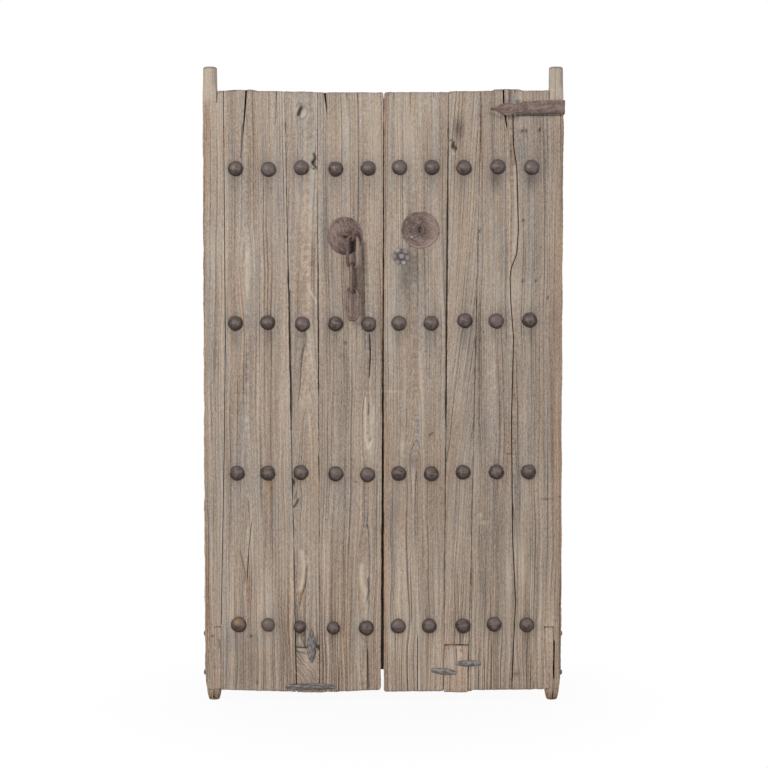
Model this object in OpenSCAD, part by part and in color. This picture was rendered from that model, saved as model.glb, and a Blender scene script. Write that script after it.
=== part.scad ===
// Old double door of weathered boards, with no frame: two leaves that turn on pivots
// cut from their outer boards, studded with iron domes and closed by a hasp chain.
// X = 0 is the meeting line, the front faces -Y, Y = 0 holds the pivot axes,
// and Z = 0 is the floor under the foot pivots.

/* [Leaves] */
// Height of the boards, from foot edge to head edge
board_h = 1890; // [1750:10:2050]
// Width of one leaf, from the meeting line to its outer edge
leaf_w = 566; // [545:1:620]
// Thickness of the boards
board_t = 48; // [47:0.5:58]
// Gap between the two leaves at the head
meet_gap_head = 3; // [3:0.5:6]
// Gap between the two leaves at the foot
meet_gap_foot = 9; // [4:0.5:12]
// Sideways lean of the meeting line, head against foot
meet_lean = 5; // [0:1:8]
// Round worn on the foot corners beside the meeting line
corner_r = 9; // [4:1:16]

/* [Boards] */
// Meeting line to the joint of inner and middle board, at the head
inner_joint_head = 206; // [195:1:220]
// The same joint at the foot of the left leaf
inner_joint_foot_left = 201; // [190:1:215]
// The same joint at the foot of the right leaf
inner_joint_foot_right = 193; // [188:1:210]
// Meeting line to the joint of middle and outer board, at the head
outer_joint_head = 308; // [298:1:320]
// The same joint at the foot of the left leaf
outer_joint_foot_left = 275; // [270:1:295]
// The same joint at the foot of the right leaf
outer_joint_foot_right = 271; // [268:1:295]
// Open gap between neighbouring boards on the front
board_gap = 3.5; // [1:0.5:6]
// Width of the tongue that closes each joint from behind
lap_w = 12; // [8:1:20]
// Thickness of the lip in front of that tongue
lip_t = 22; // [16:1:28]
// Clearance between pieces that fit together
fit_gap = 0.3; // [0.2:0.1:0.6]
// Depth of the drying splits in the boards
split_depth = 12; // [4:1:18]

/* [Pivots] */
// Radius of the head pivots
pivot_r = 22.5; // [18:0.5:23]
// Length of the head pivots above the shoulder
pivot_head_l = 77; // [50:1:100]
// Round on the top edge of the head pivots
pivot_round = 5; // [2:0.5:8]
// Radius of the foot pivots at the shoulder
foot_r = 22; // [18:0.5:23]
// Radius of the worn tip of the foot pivots
foot_tip_r = 17; // [10:0.5:18]
// Length of the foot pivots below the shoulder
pivot_foot_l = 37; // [25:1:50]
// Length of the worn taper at the tip
foot_taper_l = 16; // [8:1:20]
// Outer edge of a leaf to its pivot axis
pivot_inset = 23.5; // [23:0.5:30]
// Width of the level shoulder round each pivot
shoulder_w = 54; // [48:1:70]

/* [Battens] */
// Width of the battens across the back
batten_w = 58; // [44:1:80]
// Height of the battens above the back of the boards
batten_proud = 24; // [14:1:34]
// Depth of the dovetail let into the boards
batten_let = 12; // [8:1:18]
// Flare of the dovetail on each side
batten_flare = 4; // [2:0.5:6]
// Meeting line to the end of the dovetail
dovetail_end = 13; // [13:1:20]
// Meeting line to the end of the raised batten
batten_end = 32; // [30:1:36]
// Outer edge of the leaf to the other end of the batten
batten_stop = 40; // [30:1:60]
// Chamfer along the battens
batten_chamfer = 5; // [2:0.5:8]

/* [Studs] */
// Diameter of the domed stud heads
stud_d = 48; // [36:1:52]
// Height of the stud heads
stud_h = 17; // [10:0.5:22]
// Diameter of the stud shanks
shank_d = 8; // [6:0.5:10]
// Length of the clenched tails on the battens
clench_l = 22; // [14:1:30]
// Studs in a row of one leaf
stud_count = 5; // [3:1:5]
// Meeting line to the first stud
stud_first = 48; // [44:1:56]
// Spacing of the studs
stud_pitch = 103.5; // [98:0.5:105]
// Heights of the stud rows above the foot edge, from the foot up
stud_rows = [205, 692, 1170, 1654];
// Left studs off their even places, outward and up, row by row from the foot
left_stud_shift = [
    [[5, -6], [6, -6], [9, -2], [7, -1], [-4, -5]],
    [[1, -5], [-2, -2], [5, 2], [6, 0], [-1, 0]],
    [[-3, -7], [-2, -6], [-1, -7], [5, -2], [3, -4]],
    [[-2, -2], [-3, -4], [1, 0], [1, -5], [1, -3]]];
// Right studs off their even places, in the same order
right_stud_shift = [
    [[0, 0], [-5, 1], [-1, 1], [-6, 6], [-6, 4]],
    [[2, -1], [1, -2], [-2, 3], [0, 4], [-2, 4]],
    [[2, -5], [-1, -9], [4, 3], [-3, 3], [-1, 5]],
    [[3, 0], [1, -1], [-2, -2], [1, -9], [6, -4]]];

/* [Boss plates] */
// Diameter of the plates under the staples
boss_d = 114; // [96:1:130]
// Diameter of the raised dome
boss_dome_d = 56; // [54:1:78]
// Height of the dome
boss_rise = 10; // [6:0.5:11]
// Thickness of the plate
boss_t = 3; // [2:0.5:4]
// Diameter of the round ridge at the rim
boss_ridge_d = 5; // [3:0.5:7]
// Meeting line to the middle of the left plate
left_boss_x = 119; // [110:1:130]
// Height of the left plate above the foot edge
left_boss_z = 1441; // [1350:1:1500]
// Meeting line to the middle of the right plate
right_boss_x = 117; // [110:1:130]
// Height of the right plate above the foot edge
right_boss_z = 1459; // [1350:1:1500]

/* [Staples] */
// Radius of the staple eyes, at the middle of the bar
eye_r = 14; // [12.5:0.5:16]
// Thickness of the bar of the eyes
eye_bar = 9; // [7:0.5:9.5]
// Board face to the middle of the eyes
eye_out = 30; // [28:0.5:36]
// Thickness of the staple shanks
staple_d = 11; // [8:0.5:12]
// Turn of the left eye about its upright line
left_eye_turn = 12; // [0:1:14]
// Turn of the right eye
right_eye_turn = 40; // [0:1:60]
// Length of the spread legs behind the boards
staple_leg_l = 30; // [18:1:45]
// Distance of the left staple from the middle of its plate, towards the meeting line
staple_offset = 24; // [0:1:26]

/* [Chain] */
// Thickness of the chain bars
link_bar = 12; // [8:0.5:12]
// Width of the upper and the end link
link_w = 44; // [43:1:48]
// Width of the middle link
mid_link_w = 48; // [47:1:52]
// Length of the upper link
upper_link_l = 108; // [85:1:130]
// Length of the middle link
mid_link_l = 104; // [90:1:140]
// Length of the end link
end_link_l = 109; // [90:1:140]
// Turn of the middle link out of the plane of its neighbours
mid_link_turn = 80; // [79:1:90]
// Play between the links
chain_gap = 0.4; // [0.3:0.1:0.8]

/* [Rosette] */
// Diameter of the rosette washer
rosette_d = 50; // [46:1:64]
// Petals of the rosette
petal_count = 8; // [6:1:10]
// Height of the petals
petal_h = 5; // [3:0.5:7]
// Meeting line to the middle of the rosette
rosette_x = 58; // [50:1:75]
// Height of the rosette above the foot edge
rosette_z = 1376; // [1346:1:1386]
// Side of the square nail head in the rosette
rosette_nail_w = 18; // [14:1:20]

/* [Strap] */
// Width of the strap on the right leaf
strap_w = 42; // [30:1:52]
// Thickness of the strap
strap_t = 3; // [2:0.5:4]
// Head edge to the middle of the strap
strap_drop = 47; // [36:1:90]
// Length of the strap on the front
strap_l = 230; // [190:1:250]
// Length of the spear from tip to neck
spear_l = 92; // [60:1:105]
// Width of the spear
spear_w = 41; // [30:1:48]
// Width of the neck behind the spear
neck_w = 28; // [18:1:30]
// Length of the strap on the back
strap_back_l = 110; // [70:1:150]
// Diameter of the strap nail heads
strap_nail_d = 15; // [10:1:18]

/* [Repairs] */
// Height of the patch at the foot of the left middle board
left_patch_h = 135; // [90:1:150]
// Height of the patch at the foot of the right middle board
right_patch_h = 143; // [90:1:150]
// Gap above each patch
patch_gap = 2; // [1:0.5:4]
// Thickness of the iron cramps at their middle
cramp_t = 8; // [5:0.5:10]
// Thickness of their ends
cramp_end_t = 3; // [2:0.5:4]
// Diameter of their prongs
prong_d = 6; // [4:0.5:8]
// Length of their prongs in the wood
prong_l = 22; // [12:1:30]
// Length and width of the upright cramp at the left patch
left_patch_cramp_size = [109, 30];
// Length and width of the long cramp at the left foot
left_sill_cramp_size = [157, 22];
// Length and width of the two cramps of the right patch
right_cramp_size = [80, 20];
// Slope of the lower right cramp in degrees
lower_cramp_slope = 6; // [0:1:15]
// Height of the splice beside each foot pivot, above the shoulder
splice_h = 199; // [150:1:240]
// Depth of the splices
splice_t = 28; // [18:1:34]
// Width of the left splice
left_splice_w = 20; // [14:1:26]
// Width of the right splice
right_splice_w = 30; // [16:1:34]
// Outer edge to the left splice
left_splice_edge = 32; // [26:1:36]
// Outer edge to the right splice
right_splice_edge = 25; // [22:1:32]
// Open crack on the outer side of each splice
splice_gap = 2; // [0.5:0.5:3]
// Diameter of the side nail heads
side_nail_d = 18; // [12:1:22]
// Height of the side nail heads
side_nail_h = 5; // [3:0.5:7]
// Diameter of the nail shanks
nail_d = 6; // [4:0.5:7]
// Length of the nails in the wood
nail_l = 42; // [36:1:44]
// Heights of the side nails above the shoulder
side_nail_z = [52, 176];

/* [Meeting strip] */
// Reach of the strip behind the left leaf
strip_lap = 20; // [14:1:24]
// Reach of the strip on the right leaf
strip_seat = 26; // [22:1:28]
// Thickness of the strip
strip_t = 18; // [12:1:24]
// Relief of the lapping half, clear of the left leaf
strip_relief = 0.3; // [0.3:0.1:1.5]
// Foot edge to the lower end of the strip
strip_foot = 57; // [20:1:120]
// Head edge to the upper end of the strip
strip_head = 14; // [5:1:40]
// Diameter of the strip nail heads
strip_nail_d = 13; // [9:1:15]

/* [Hidden] */
$fn = 64;
left = -1;
right = 1;
over_cut = 1;
shoulder_rise = 4;
nail_h = 5;

foot_shoulder = pivot_foot_l;
foot_z = foot_shoulder - shoulder_rise;
head_z = foot_z + board_h;
head_shoulder = head_z + shoulder_rise;
top_z = head_shoulder + pivot_head_l;
pivot_x = leaf_w - pivot_inset;
// How far the head shoulders are cut down, and how much thicker the head pivots are there
stile_drop = shoulder_rise + strap_drop - strap_w / 2 - strap_t;
root_rise = 0.8;
stile_w = pivot_inset + pivot_r - over_cut;

face_y = -board_t / 2;
back_y = board_t / 2;
lip_y = face_y + lip_t;
batten_y = back_y + batten_proud;
eye_y = face_y - eye_out;

// Lines from foot to head, as distances from the meeting line
left_meet = [(meet_gap_foot + meet_lean) / 2, (meet_gap_head - meet_lean) / 2];
right_meet = [(meet_gap_foot - meet_lean) / 2, (meet_gap_head + meet_lean) / 2];
left_inner_joint = [inner_joint_foot_left, inner_joint_head];
right_inner_joint = [inner_joint_foot_right, inner_joint_head];
left_outer_joint = [outer_joint_foot_left, outer_joint_head];
right_outer_joint = [outer_joint_foot_right, outer_joint_head];

// Worn ends of the boards: rise over the foot and the head edge at their two sides
left_inner_foot = [0, -8];
left_inner_head = [0, 0];
left_middle_head = [1, 3];
left_outer_foot = [-6, shoulder_rise];
left_outer_head = [3, 6];
left_patch_foot = [-9, -7];
right_inner_foot = [-6, -4];
right_inner_head = [0, 1];
right_middle_head = [3, 4];
right_outer_foot = [-1, shoulder_rise];
right_outer_head = [4, 9];
right_patch_foot = [-7, -8];

// Drying splits: distance from the meeting line, and drop below the head edge
left_head_split = [[428, -12], [431, 30], [437, 108], [444, 187]];
left_post_split = [[500, -12], [499, 296], [496, 694], [493, 1209]];
left_inner_split = [[42, 755], [40, 823], [43, 898]];
right_head_split = [[377, -14], [379, 40], [386, 89], [391, 126]];
right_long_split = [
    [404, 75], [418, 296], [401, 554], [408, 773], [405, 1053], [411, 1394], [419, 1637], [408, 1798]];
head_split_w = 6;
long_split_w = 3;

// The chain hangs from the eye of the left staple
chain_x = staple_offset - left_boss_x;
left_staple_z = foot_z + left_boss_z;
right_staple_z = foot_z + right_boss_z;
upper_link_z = left_staple_z - eye_r + eye_bar / 2 + link_bar / 2 + chain_gap;
upper_link_foot = upper_link_z - upper_link_l + link_bar;
mid_link_z = upper_link_foot + link_bar + chain_gap;
mid_link_foot = mid_link_z - mid_link_l + link_bar;
end_link_z = mid_link_foot + link_bar + chain_gap;

left_patch_z = foot_z + left_patch_h;
right_patch_z = foot_z + right_patch_h;
strap_z = head_z - strap_drop;
strip_low = foot_z + strip_foot;
strip_high = head_z - strip_head;
strip_nail_x = (strip_seat + right_meet[1]) / 2;
strip_nail_inset = 60;
strip_nail_z = [
    strip_low + strip_nail_inset, foot_z + (stud_rows[0] + stud_rows[1]) / 2,
    foot_z + (stud_rows[1] + stud_rows[2]) / 2, foot_z + (stud_rows[2] + stud_rows[3]) / 2,
    strip_high - strip_nail_inset];
strip_chamfer = 4;
strip_nail_l = 24;

// The boss plate's nail sits on the flat, close to the dome
boss_nail_turn = 221;
boss_nail_d = 12;
boss_nail_at = (boss_dome_d + boss_nail_d) / 2 + fit_gap;
boss_nail_x = right_boss_x + boss_nail_at * cos(boss_nail_turn);
boss_nail_z = right_staple_z + boss_nail_at * sin(boss_nail_turn);
short_nail_l = 30;

staple_leg_d = 7;

rosette_floor = 2;
rosette_well_d = rosette_nail_w * 1.5;
petal_d = rosette_d * 0.42;
rosette_nail_h = 6;
rosette_nail_d = rosette_nail_w * 1.6;

strap_tip = leaf_w - strap_l;
spear_peak = spear_l * 0.52;
spear_flare = (strap_l - spear_l) * 0.8;
strap_nail_at = [strap_tip + spear_l * 0.6, strap_tip + spear_l * 1.2];
strap_back_nail_at = leaf_w - strap_back_l + strap_nail_d;
strap_nail_l = 24;

side_nail_y = face_y + splice_t / 2;

// Cramps: where their prongs sit along them, the points cut off at their two ends,
// and their places on the joints of the patches
prong_at = 0.33;
left_patch_cramp_cut = [9, 0];
left_sill_cramp_cut = [40, 40];
right_cramp_cut = [20, 20];
left_patch_w = outer_joint_foot_left - inner_joint_foot_left;
left_patch_cramp_x = inner_joint_foot_left + left_patch_w * 0.35;
left_patch_cramp_rise = 7;
left_sill_cramp_x = inner_joint_foot_left + left_patch_w * 0.4;
left_sill_cramp_z = foot_z + left_sill_cramp_size[1] / 2;
right_upper_cramp_x = outer_joint_foot_right;
right_upper_cramp_z = foot_z + right_patch_h * 0.6;
right_lower_cramp_x = inner_joint_foot_right;
right_lower_cramp_z = foot_z + right_patch_h * 0.42;

// Distance from the meeting line at height z of a line given at foot and head
function along(line, z) = line[0] + (line[1] - line[0]) * (z - foot_z) / board_h;
function shifted(line, by) = [line[0] + by, line[1] + by];
function on_line(line, z) = [along(line, z), z];
function rises(base, ends) = [base + ends[0], base + ends[1]];

// Outline of a board between two lines, its near foot corner worn round
function board_outline(near, far, foot, head, round) = concat(
    [for (a = [90 : -15 : 0])
        on_line(near, foot[0]) + round * [1 - sin(a), 1 - cos(a)]],
    [on_line(far, foot[1]), on_line(far, head[1]), on_line(near, head[0])]);

// Outline of an outer board, with level shoulders at its pivots; the head shoulder is cut
// down beside the head pivot, so that the pivot grows out of the board above the strap
function outer_outline(near, foot, head) = [
    on_line(near, foot[0]), [leaf_w - shoulder_w, foot_shoulder], [leaf_w, foot_shoulder],
    [leaf_w, head_shoulder - stile_drop], [leaf_w - stile_w, head_shoulder - stile_drop],
    [leaf_w - stile_w, head_shoulder], [leaf_w - shoulder_w, head_shoulder],
    [(leaf_w + near[1]) / 2 - shoulder_w, head[1]], on_line(near, head[0])];

// Outline of the splice beside a foot pivot
function splice_outline(edge, width, room) = [
    [leaf_w - edge - width - room, foot_shoulder], [leaf_w - edge, foot_shoulder],
    [leaf_w - edge, foot_shoulder + splice_h + room],
    [leaf_w - edge - width - room, foot_shoulder + splice_h + room]];

// Plate cut to an outline of [distance from the meeting line, height] points
module slab(side, outline, front, back)
    translate([0, back, 0]) rotate([90, 0, 0]) linear_extrude(back - front)
        polygon([for (p = outline) [side * p[0], p[1]]]);

// Round bar between two points
module rod(from, to, d) {
    way = to - from;
    translate(from) rotate([0, acos(way[2] / norm(way)), atan2(way[1], way[0])])
        cylinder(d = d, h = norm(way));
}

// Round bar that runs straight into the door, from one depth to another
module bar_in(x, z, d, from_y, to_y)
    translate([x, to_y, z]) rotate([90, 0, 0]) cylinder(d = d, h = to_y - from_y);

// Forged dome that stands on the XY plane
module dome(d, h) {
    ball = (d * d / 4 + h * h) / (2 * h);
    intersection() {
        translate([0, 0, h - ball]) sphere(ball, $fn = 96);
        cylinder(d = d, h = h);
    }
}

// Dome that stands on the plane y and looks to the front
module front_dome(x, y, z, d, h) translate([x, y, z]) rotate([90, 0, 0]) dome(d, h);

// Dome that stands on the plane y and looks to the back
module back_dome(x, y, z, d, h) translate([x, y, z]) rotate([-90, 0, 0]) dome(d, h);

// Drying split along a path, open at its upper end and closing downwards
module split(side, path, width) {
    last = len(path) - 1;
    half = [for (i = [0 : last]) width / 2 * (1 - 0.9 * pow(i / last, 3))];
    slab(side, concat(
        [for (i = [0 : last]) [path[i][0] - half[i], head_z - path[i][1]]],
        [for (i = [last : -1 : 0]) [path[i][0] + half[i], head_z - path[i][1]]]),
        face_y - over_cut, face_y + split_depth);
}

// Places of all studs of a leaf, as [x, z]
function stud_places(side) = [
    for (row = [0 : len(stud_rows) - 1], i = [0 : stud_count - 1])
        let (shift = (side < 0 ? left_stud_shift : right_stud_shift)[row][i])
            [side * (stud_first + i * stud_pitch + shift[0]), foot_z + stud_rows[row] + shift[1]]];

// Holes for the shanks of all studs of a leaf
module stud_holes(side)
    for (at = stud_places(side))
        bar_in(at[0], at[1], shank_d + 2 * fit_gap, face_y - over_cut, batten_y + over_cut);

// Dovetail section of a batten, as [depth, height] points
function dovetail(room) = [
    [back_y - batten_let, batten_w / 2 + batten_flare + room], [back_y, batten_w / 2 + room],
    [back_y, -batten_w / 2 - room], [back_y - batten_let, -batten_w / 2 - batten_flare - room]];

// Prism across a leaf, between two distances from the meeting line
module prism(side, from, to, section)
    translate([side > 0 ? from : -to, 0, 0]) rotate([90, 0, 90]) linear_extrude(to - from)
        polygon(section);

// Dovetail grooves of a leaf, open at the meeting edge
module batten_grooves(side)
    for (row = stud_rows)
        translate([0, 0, foot_z + row])
            prism(side, -strip_lap, leaf_w - batten_stop + fit_gap, dovetail(fit_gap));

module batten(side, row) {
    low = batten_w / 2;
    top = low - batten_chamfer;
    color("#8f8173") difference() {
        translate([0, 0, foot_z + stud_rows[row]]) {
            prism(side, dovetail_end, leaf_w - batten_stop, dovetail(0));
            prism(side, batten_end, leaf_w - batten_stop, [
                [back_y, low], [batten_y - batten_chamfer, low], [batten_y, top],
                [batten_y, -top], [batten_y - batten_chamfer, -low], [back_y, -low]]);
        }
        stud_holes(side);
    }
}

// Board in two layers, the front lip and the back layer with its tongue,
// cut for the battens and the studs
module board(side, near, far, foot, head, near_lap, round = 0)
    difference() {
        union() {
            slab(side, board_outline(shifted(near, near_lap ? board_gap / 2 : 0),
                shifted(far, -board_gap / 2), foot, head, round), face_y, lip_y);
            slab(side, board_outline(shifted(near, near_lap ? lap_w + fit_gap : 0),
                shifted(far, lap_w), foot, head, round), lip_y, back_y);
        }
        stud_holes(side);
        batten_grooves(side);
    }

// Pivots on the axis of a leaf, in one piece with its outer board
module pivots(side)
    translate([side * pivot_x, 0, 0]) rotate_extrude() {
        root = shoulder_w / 2;
        polygon([
            [0, 0], [foot_tip_r, 0], [foot_r, foot_taper_l], [foot_r, foot_shoulder + root],
            [0, foot_shoulder + root]]);
        translate([0, head_shoulder - stile_drop - root])
            square([pivot_r + root_rise, stile_drop + root]);
        translate([0, head_shoulder - over_cut])
            square([pivot_r, pivot_head_l + over_cut - pivot_round]);
        translate([0, top_z - pivot_round]) square([pivot_r - pivot_round, pivot_round]);
        intersection() {
            translate([pivot_r - pivot_round, top_z - pivot_round]) circle(pivot_round);
            square([pivot_r, top_z]);
        }
    }

module outer_board(side, joint, foot, head, splice_edge, splice_w)
    difference() {
        union() {
            slab(side, outer_outline(shifted(joint, board_gap / 2), rises(foot_z, foot),
                rises(head_z, head)), face_y, lip_y);
            slab(side, outer_outline(shifted(joint, lap_w + fit_gap), rises(foot_z, foot),
                rises(head_z, head)), lip_y, back_y);
            pivots(side);
        }
        stud_holes(side);
        batten_grooves(side);
        slab(side, splice_outline(splice_edge - splice_gap, splice_w + splice_gap, fit_gap),
            face_y - over_cut, face_y + splice_t);
        side_nail_shanks(side, fit_gap);
    }

module left_outer_board()
    color("#a59687") difference() {
        outer_board(left, left_outer_joint, left_outer_foot, left_outer_head,
            left_splice_edge, left_splice_w);
        split(left, left_head_split, head_split_w);
        split(left, left_post_split, long_split_w);
        at_left_sill_cramp() prongs(left_sill_cramp_size, fit_gap);
    }

module right_outer_board()
    color("#a3917f") difference() {
        outer_board(right, right_outer_joint, right_outer_foot, right_outer_head,
            right_splice_edge, right_splice_w);
        split(right, right_head_split, head_split_w);
        split(right, right_long_split, long_split_w);
        at_right_upper_cramp() prongs(right_cramp_size, fit_gap);
        strap_nail_shanks(fit_gap);
    }

module left_middle_board()
    color("#ad9d8c") difference() {
        board(left, left_inner_joint, left_outer_joint, rises(left_patch_z + patch_gap, [0, 0]),
            rises(head_z, left_middle_head), true);
        at_left_patch_cramp() prongs(left_patch_cramp_size, fit_gap);
    }

module right_middle_board()
    color("#ad9d8c") difference() {
        board(right, right_inner_joint, right_outer_joint, rises(right_patch_z + patch_gap, [0, 0]),
            rises(head_z, right_middle_head), true);
        strap_nail_shanks(fit_gap);
    }

module left_inner_board()
    color("#a59687") difference() {
        board(left, left_meet, left_inner_joint, rises(foot_z, left_inner_foot),
            rises(head_z, left_inner_head), false, corner_r);
        split(left, left_inner_split, long_split_w);
        staple_hole(chain_x, left_staple_z);
        at_left_sill_cramp() prongs(left_sill_cramp_size, fit_gap);
    }

module right_inner_board()
    color("#a59687") difference() {
        board(right, right_meet, right_inner_joint, rises(foot_z, right_inner_foot),
            rises(head_z, right_inner_head), false, corner_r);
        staple_hole(right_boss_x, right_staple_z);
        boss_nail_shank(fit_gap);
        rosette_nail_shank(fit_gap);
        at_right_lower_cramp() prongs(right_cramp_size, fit_gap);
        strip_nail_shanks(fit_gap);
    }

module left_patch()
    color("#b3a088") difference() {
        board(left, left_inner_joint, left_outer_joint, rises(foot_z, left_patch_foot),
            rises(left_patch_z, [0, 0]), true);
        at_left_patch_cramp() prongs(left_patch_cramp_size, fit_gap);
    }

module right_patch()
    color("#b3a088") difference() {
        board(right, right_inner_joint, right_outer_joint, rises(foot_z, right_patch_foot),
            rises(right_patch_z, [0, 0]), true);
        at_right_upper_cramp() prongs(right_cramp_size, fit_gap);
        at_right_lower_cramp() prongs(right_cramp_size, fit_gap);
    }

module splice(side, edge, width)
    color("#9c8a78") difference() {
        slab(side, splice_outline(edge, width, 0), face_y, face_y + splice_t);
        side_nail_shanks(side, fit_gap);
    }

module left_splice() splice(left, left_splice_edge, left_splice_w);
module right_splice() splice(right, right_splice_edge, right_splice_w);

module left_batten_1() batten(left, 0);
module left_batten_2() batten(left, 1);
module left_batten_3() batten(left, 2);
module left_batten_4() batten(left, 3);
module right_batten_1() batten(right, 0);
module right_batten_2() batten(right, 1);
module right_batten_3() batten(right, 2);
module right_batten_4() batten(right, 3);

// Domed studs, driven through board and batten and clenched behind
module studs(side) {
    tail_y = batten_y + shank_d / 2;
    color("#55504c") for (at = stud_places(side)) {
        x = at[0];
        z = at[1];
        front_dome(x, face_y, z, stud_d, stud_h);
        bar_in(x, z, shank_d, face_y - over_cut, tail_y);
        translate([x, tail_y, z]) sphere(d = shank_d);
        rod([x, tail_y, z], [x + side * clench_l, tail_y, z], shank_d);
    }
}

module left_studs() studs(left);
module right_studs() studs(right);

// Domed plate with a round ridge at its rim, pierced for a staple
module boss_plate(offset) {
    dome_r = boss_dome_d / 2;
    ridge_at = (boss_d - boss_ridge_d) / 2;
    ball = (dome_r * dome_r + boss_rise * boss_rise) / (2 * boss_rise);
    difference() {
        rotate_extrude($fn = 128) {
            difference() {
                intersection() {
                    translate([0, boss_rise - ball]) circle(ball, $fn = 360);
                    square([dome_r, boss_rise]);
                }
                intersection() {
                    translate([0, boss_rise - ball - boss_t]) circle(ball, $fn = 360);
                    square([dome_r, boss_rise]);
                }
            }
            translate([dome_r - boss_t, 0]) square([ridge_at - dome_r + boss_t, boss_t]);
            intersection() {
                translate([ridge_at, boss_t / 2]) circle(d = boss_ridge_d);
                square([boss_d, boss_d]);
            }
        }
        translate([offset, 0, -over_cut])
            cylinder(d = staple_d + 2 * fit_gap, h = boss_rise + 2 * over_cut);
    }
}

module left_boss_plate()
    color("#78695f") translate([-left_boss_x, face_y, left_staple_z]) rotate([90, 0, 0])
        boss_plate(staple_offset);

module right_boss_plate()
    color("#78695f") difference() {
        translate([right_boss_x, face_y, right_staple_z]) rotate([90, 0, 0]) boss_plate(0);
        boss_nail_shank(fit_gap);
    }

module boss_nail_shank(room)
    bar_in(boss_nail_x, boss_nail_z, nail_d + 2 * room, face_y - boss_t - over_cut,
        face_y + short_nail_l + room);

module right_boss_nail()
    color("#6b625c") {
        front_dome(boss_nail_x, face_y - boss_t, boss_nail_z, boss_nail_d, nail_h);
        boss_nail_shank(0);
    }

module staple_hole(x, z)
    bar_in(x, z, staple_d + 2 * fit_gap, face_y - over_cut, back_y + over_cut);

// Eye staple: a ring on a shank, its legs spread up and down behind the board
module staple(x, z, turn) {
    leg_y = back_y + staple_leg_d / 2;
    color("#6d5f55") {
        translate([x, eye_y, z]) rotate([0, 0, turn]) rotate([0, 90, 0]) rotate_extrude()
            translate([eye_r, 0]) circle(d = eye_bar);
        bar_in(x, z, staple_d, eye_y + eye_r, back_y + staple_leg_d);
        rod([x, leg_y, z - staple_leg_l], [x, leg_y, z + staple_leg_l], staple_leg_d);
    }
}

module left_staple() staple(chain_x, left_staple_z, left_eye_turn);
module right_staple() staple(right_boss_x, right_staple_z, right_eye_turn);

// Half of a link's round end, in the plane of the link
module link_bend(bend)
    rotate([90, 0, 0]) rotate_extrude(angle = 180) translate([bend, 0]) circle(d = link_bar);

// Long link that hangs from the middle of its upper bar
module link(width, length) {
    bend = (width - link_bar) / 2;
    leg = length - width;
    translate([0, 0, -bend]) link_bend(bend);
    translate([0, 0, -bend - leg]) rotate([0, 180, 0]) link_bend(bend);
    for (x = [-bend, bend])
        translate([x, 0, -bend - leg]) cylinder(d = link_bar, h = leg);
}

module chain_upper_link()
    color("#7d6a5e") translate([chain_x, eye_y, upper_link_z]) link(link_w, upper_link_l);

module chain_middle_link()
    color("#6d625b") translate([chain_x, eye_y, mid_link_z]) rotate([0, 0, mid_link_turn])
        link(mid_link_w, mid_link_l);

module chain_end_link()
    color("#75695f") translate([chain_x, eye_y, end_link_z]) link(link_w, end_link_l);

// Washer of domed petals with a well for its nail
module rosette()
    color("#8f8882") translate([rosette_x, face_y, foot_z + rosette_z]) rotate([90, 0, 0])
        difference() {
            union() {
                for (i = [0 : petal_count - 1])
                    rotate(i * 360 / petal_count) translate([(rosette_d - petal_d) / 2, 0, 0])
                        dome(petal_d, petal_h);
                cylinder(d = rosette_d - petal_d, h = petal_h / 2);
            }
            translate([0, 0, rosette_floor]) cylinder(d = rosette_well_d, h = petal_h);
            translate([0, 0, -over_cut]) cylinder(d = nail_d + 2 * fit_gap, h = petal_h);
        }

module rosette_nail_shank(room)
    bar_in(rosette_x, foot_z + rosette_z, nail_d + 2 * room, face_y - rosette_floor - over_cut,
        face_y + short_nail_l + room);

module rosette_nail()
    color("#5c5652") {
        intersection() {
            front_dome(rosette_x, face_y - rosette_floor, foot_z + rosette_z, rosette_nail_d,
                rosette_nail_h);
            translate([rosette_x, face_y, foot_z + rosette_z])
                cube([rosette_nail_w, board_t, rosette_nail_w], center = true);
        }
        rosette_nail_shank(0);
    }

// Half outline of the strap, mirrored about its middle
function strap_half(sign) = [
    [strap_tip + spear_peak, strap_z + sign * spear_w / 2],
    [strap_tip + spear_l, strap_z + sign * neck_w / 2],
    [strap_tip + spear_l + spear_flare, strap_z + sign * strap_w / 2],
    [leaf_w + strap_t, strap_z + sign * strap_w / 2]];

function strap_strip(from) = [
    [from, strap_z - strap_w / 2], [leaf_w + strap_t, strap_z - strap_w / 2],
    [leaf_w + strap_t, strap_z + strap_w / 2], [from, strap_z + strap_w / 2]];

// Strap with a spear end, folded round the outer edge of the leaf
module strap() {
    upper = strap_half(1);
    color("#7d6e66") difference() {
        union() {
            slab(right, concat([[strap_tip, strap_z]], strap_half(-1), [for (i = [3 : -1 : 0]) upper[i]]),
                face_y - strap_t, face_y);
            slab(right, strap_strip(leaf_w), face_y - strap_t, back_y + strap_t);
            slab(right, strap_strip(leaf_w - strap_back_l), back_y, back_y + strap_t);
        }
        strap_nail_shanks(fit_gap);
    }
}

module strap_nail_shanks(room) {
    for (x = strap_nail_at)
        bar_in(x, strap_z, nail_d + 2 * room, face_y - strap_t - over_cut, face_y + strap_nail_l + room);
    bar_in(strap_back_nail_at, strap_z, nail_d + 2 * room, back_y - strap_nail_l / 2 - room,
        back_y + strap_t + over_cut);
}

module strap_nails()
    color("#6b625c") {
        for (x = strap_nail_at)
            front_dome(x, face_y - strap_t, strap_z, strap_nail_d, nail_h);
        back_dome(strap_back_nail_at, back_y + strap_t, strap_z, strap_nail_d, nail_h);
        strap_nail_shanks(0);
    }

// Prongs of a cramp that lies along X on the plane Y = 0
module prongs(size, room)
    for (x = [-prong_at, prong_at])
        bar_in(x * size[0], 0, prong_d + 2 * room, -cramp_end_t / 2, prong_l + room);

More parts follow.
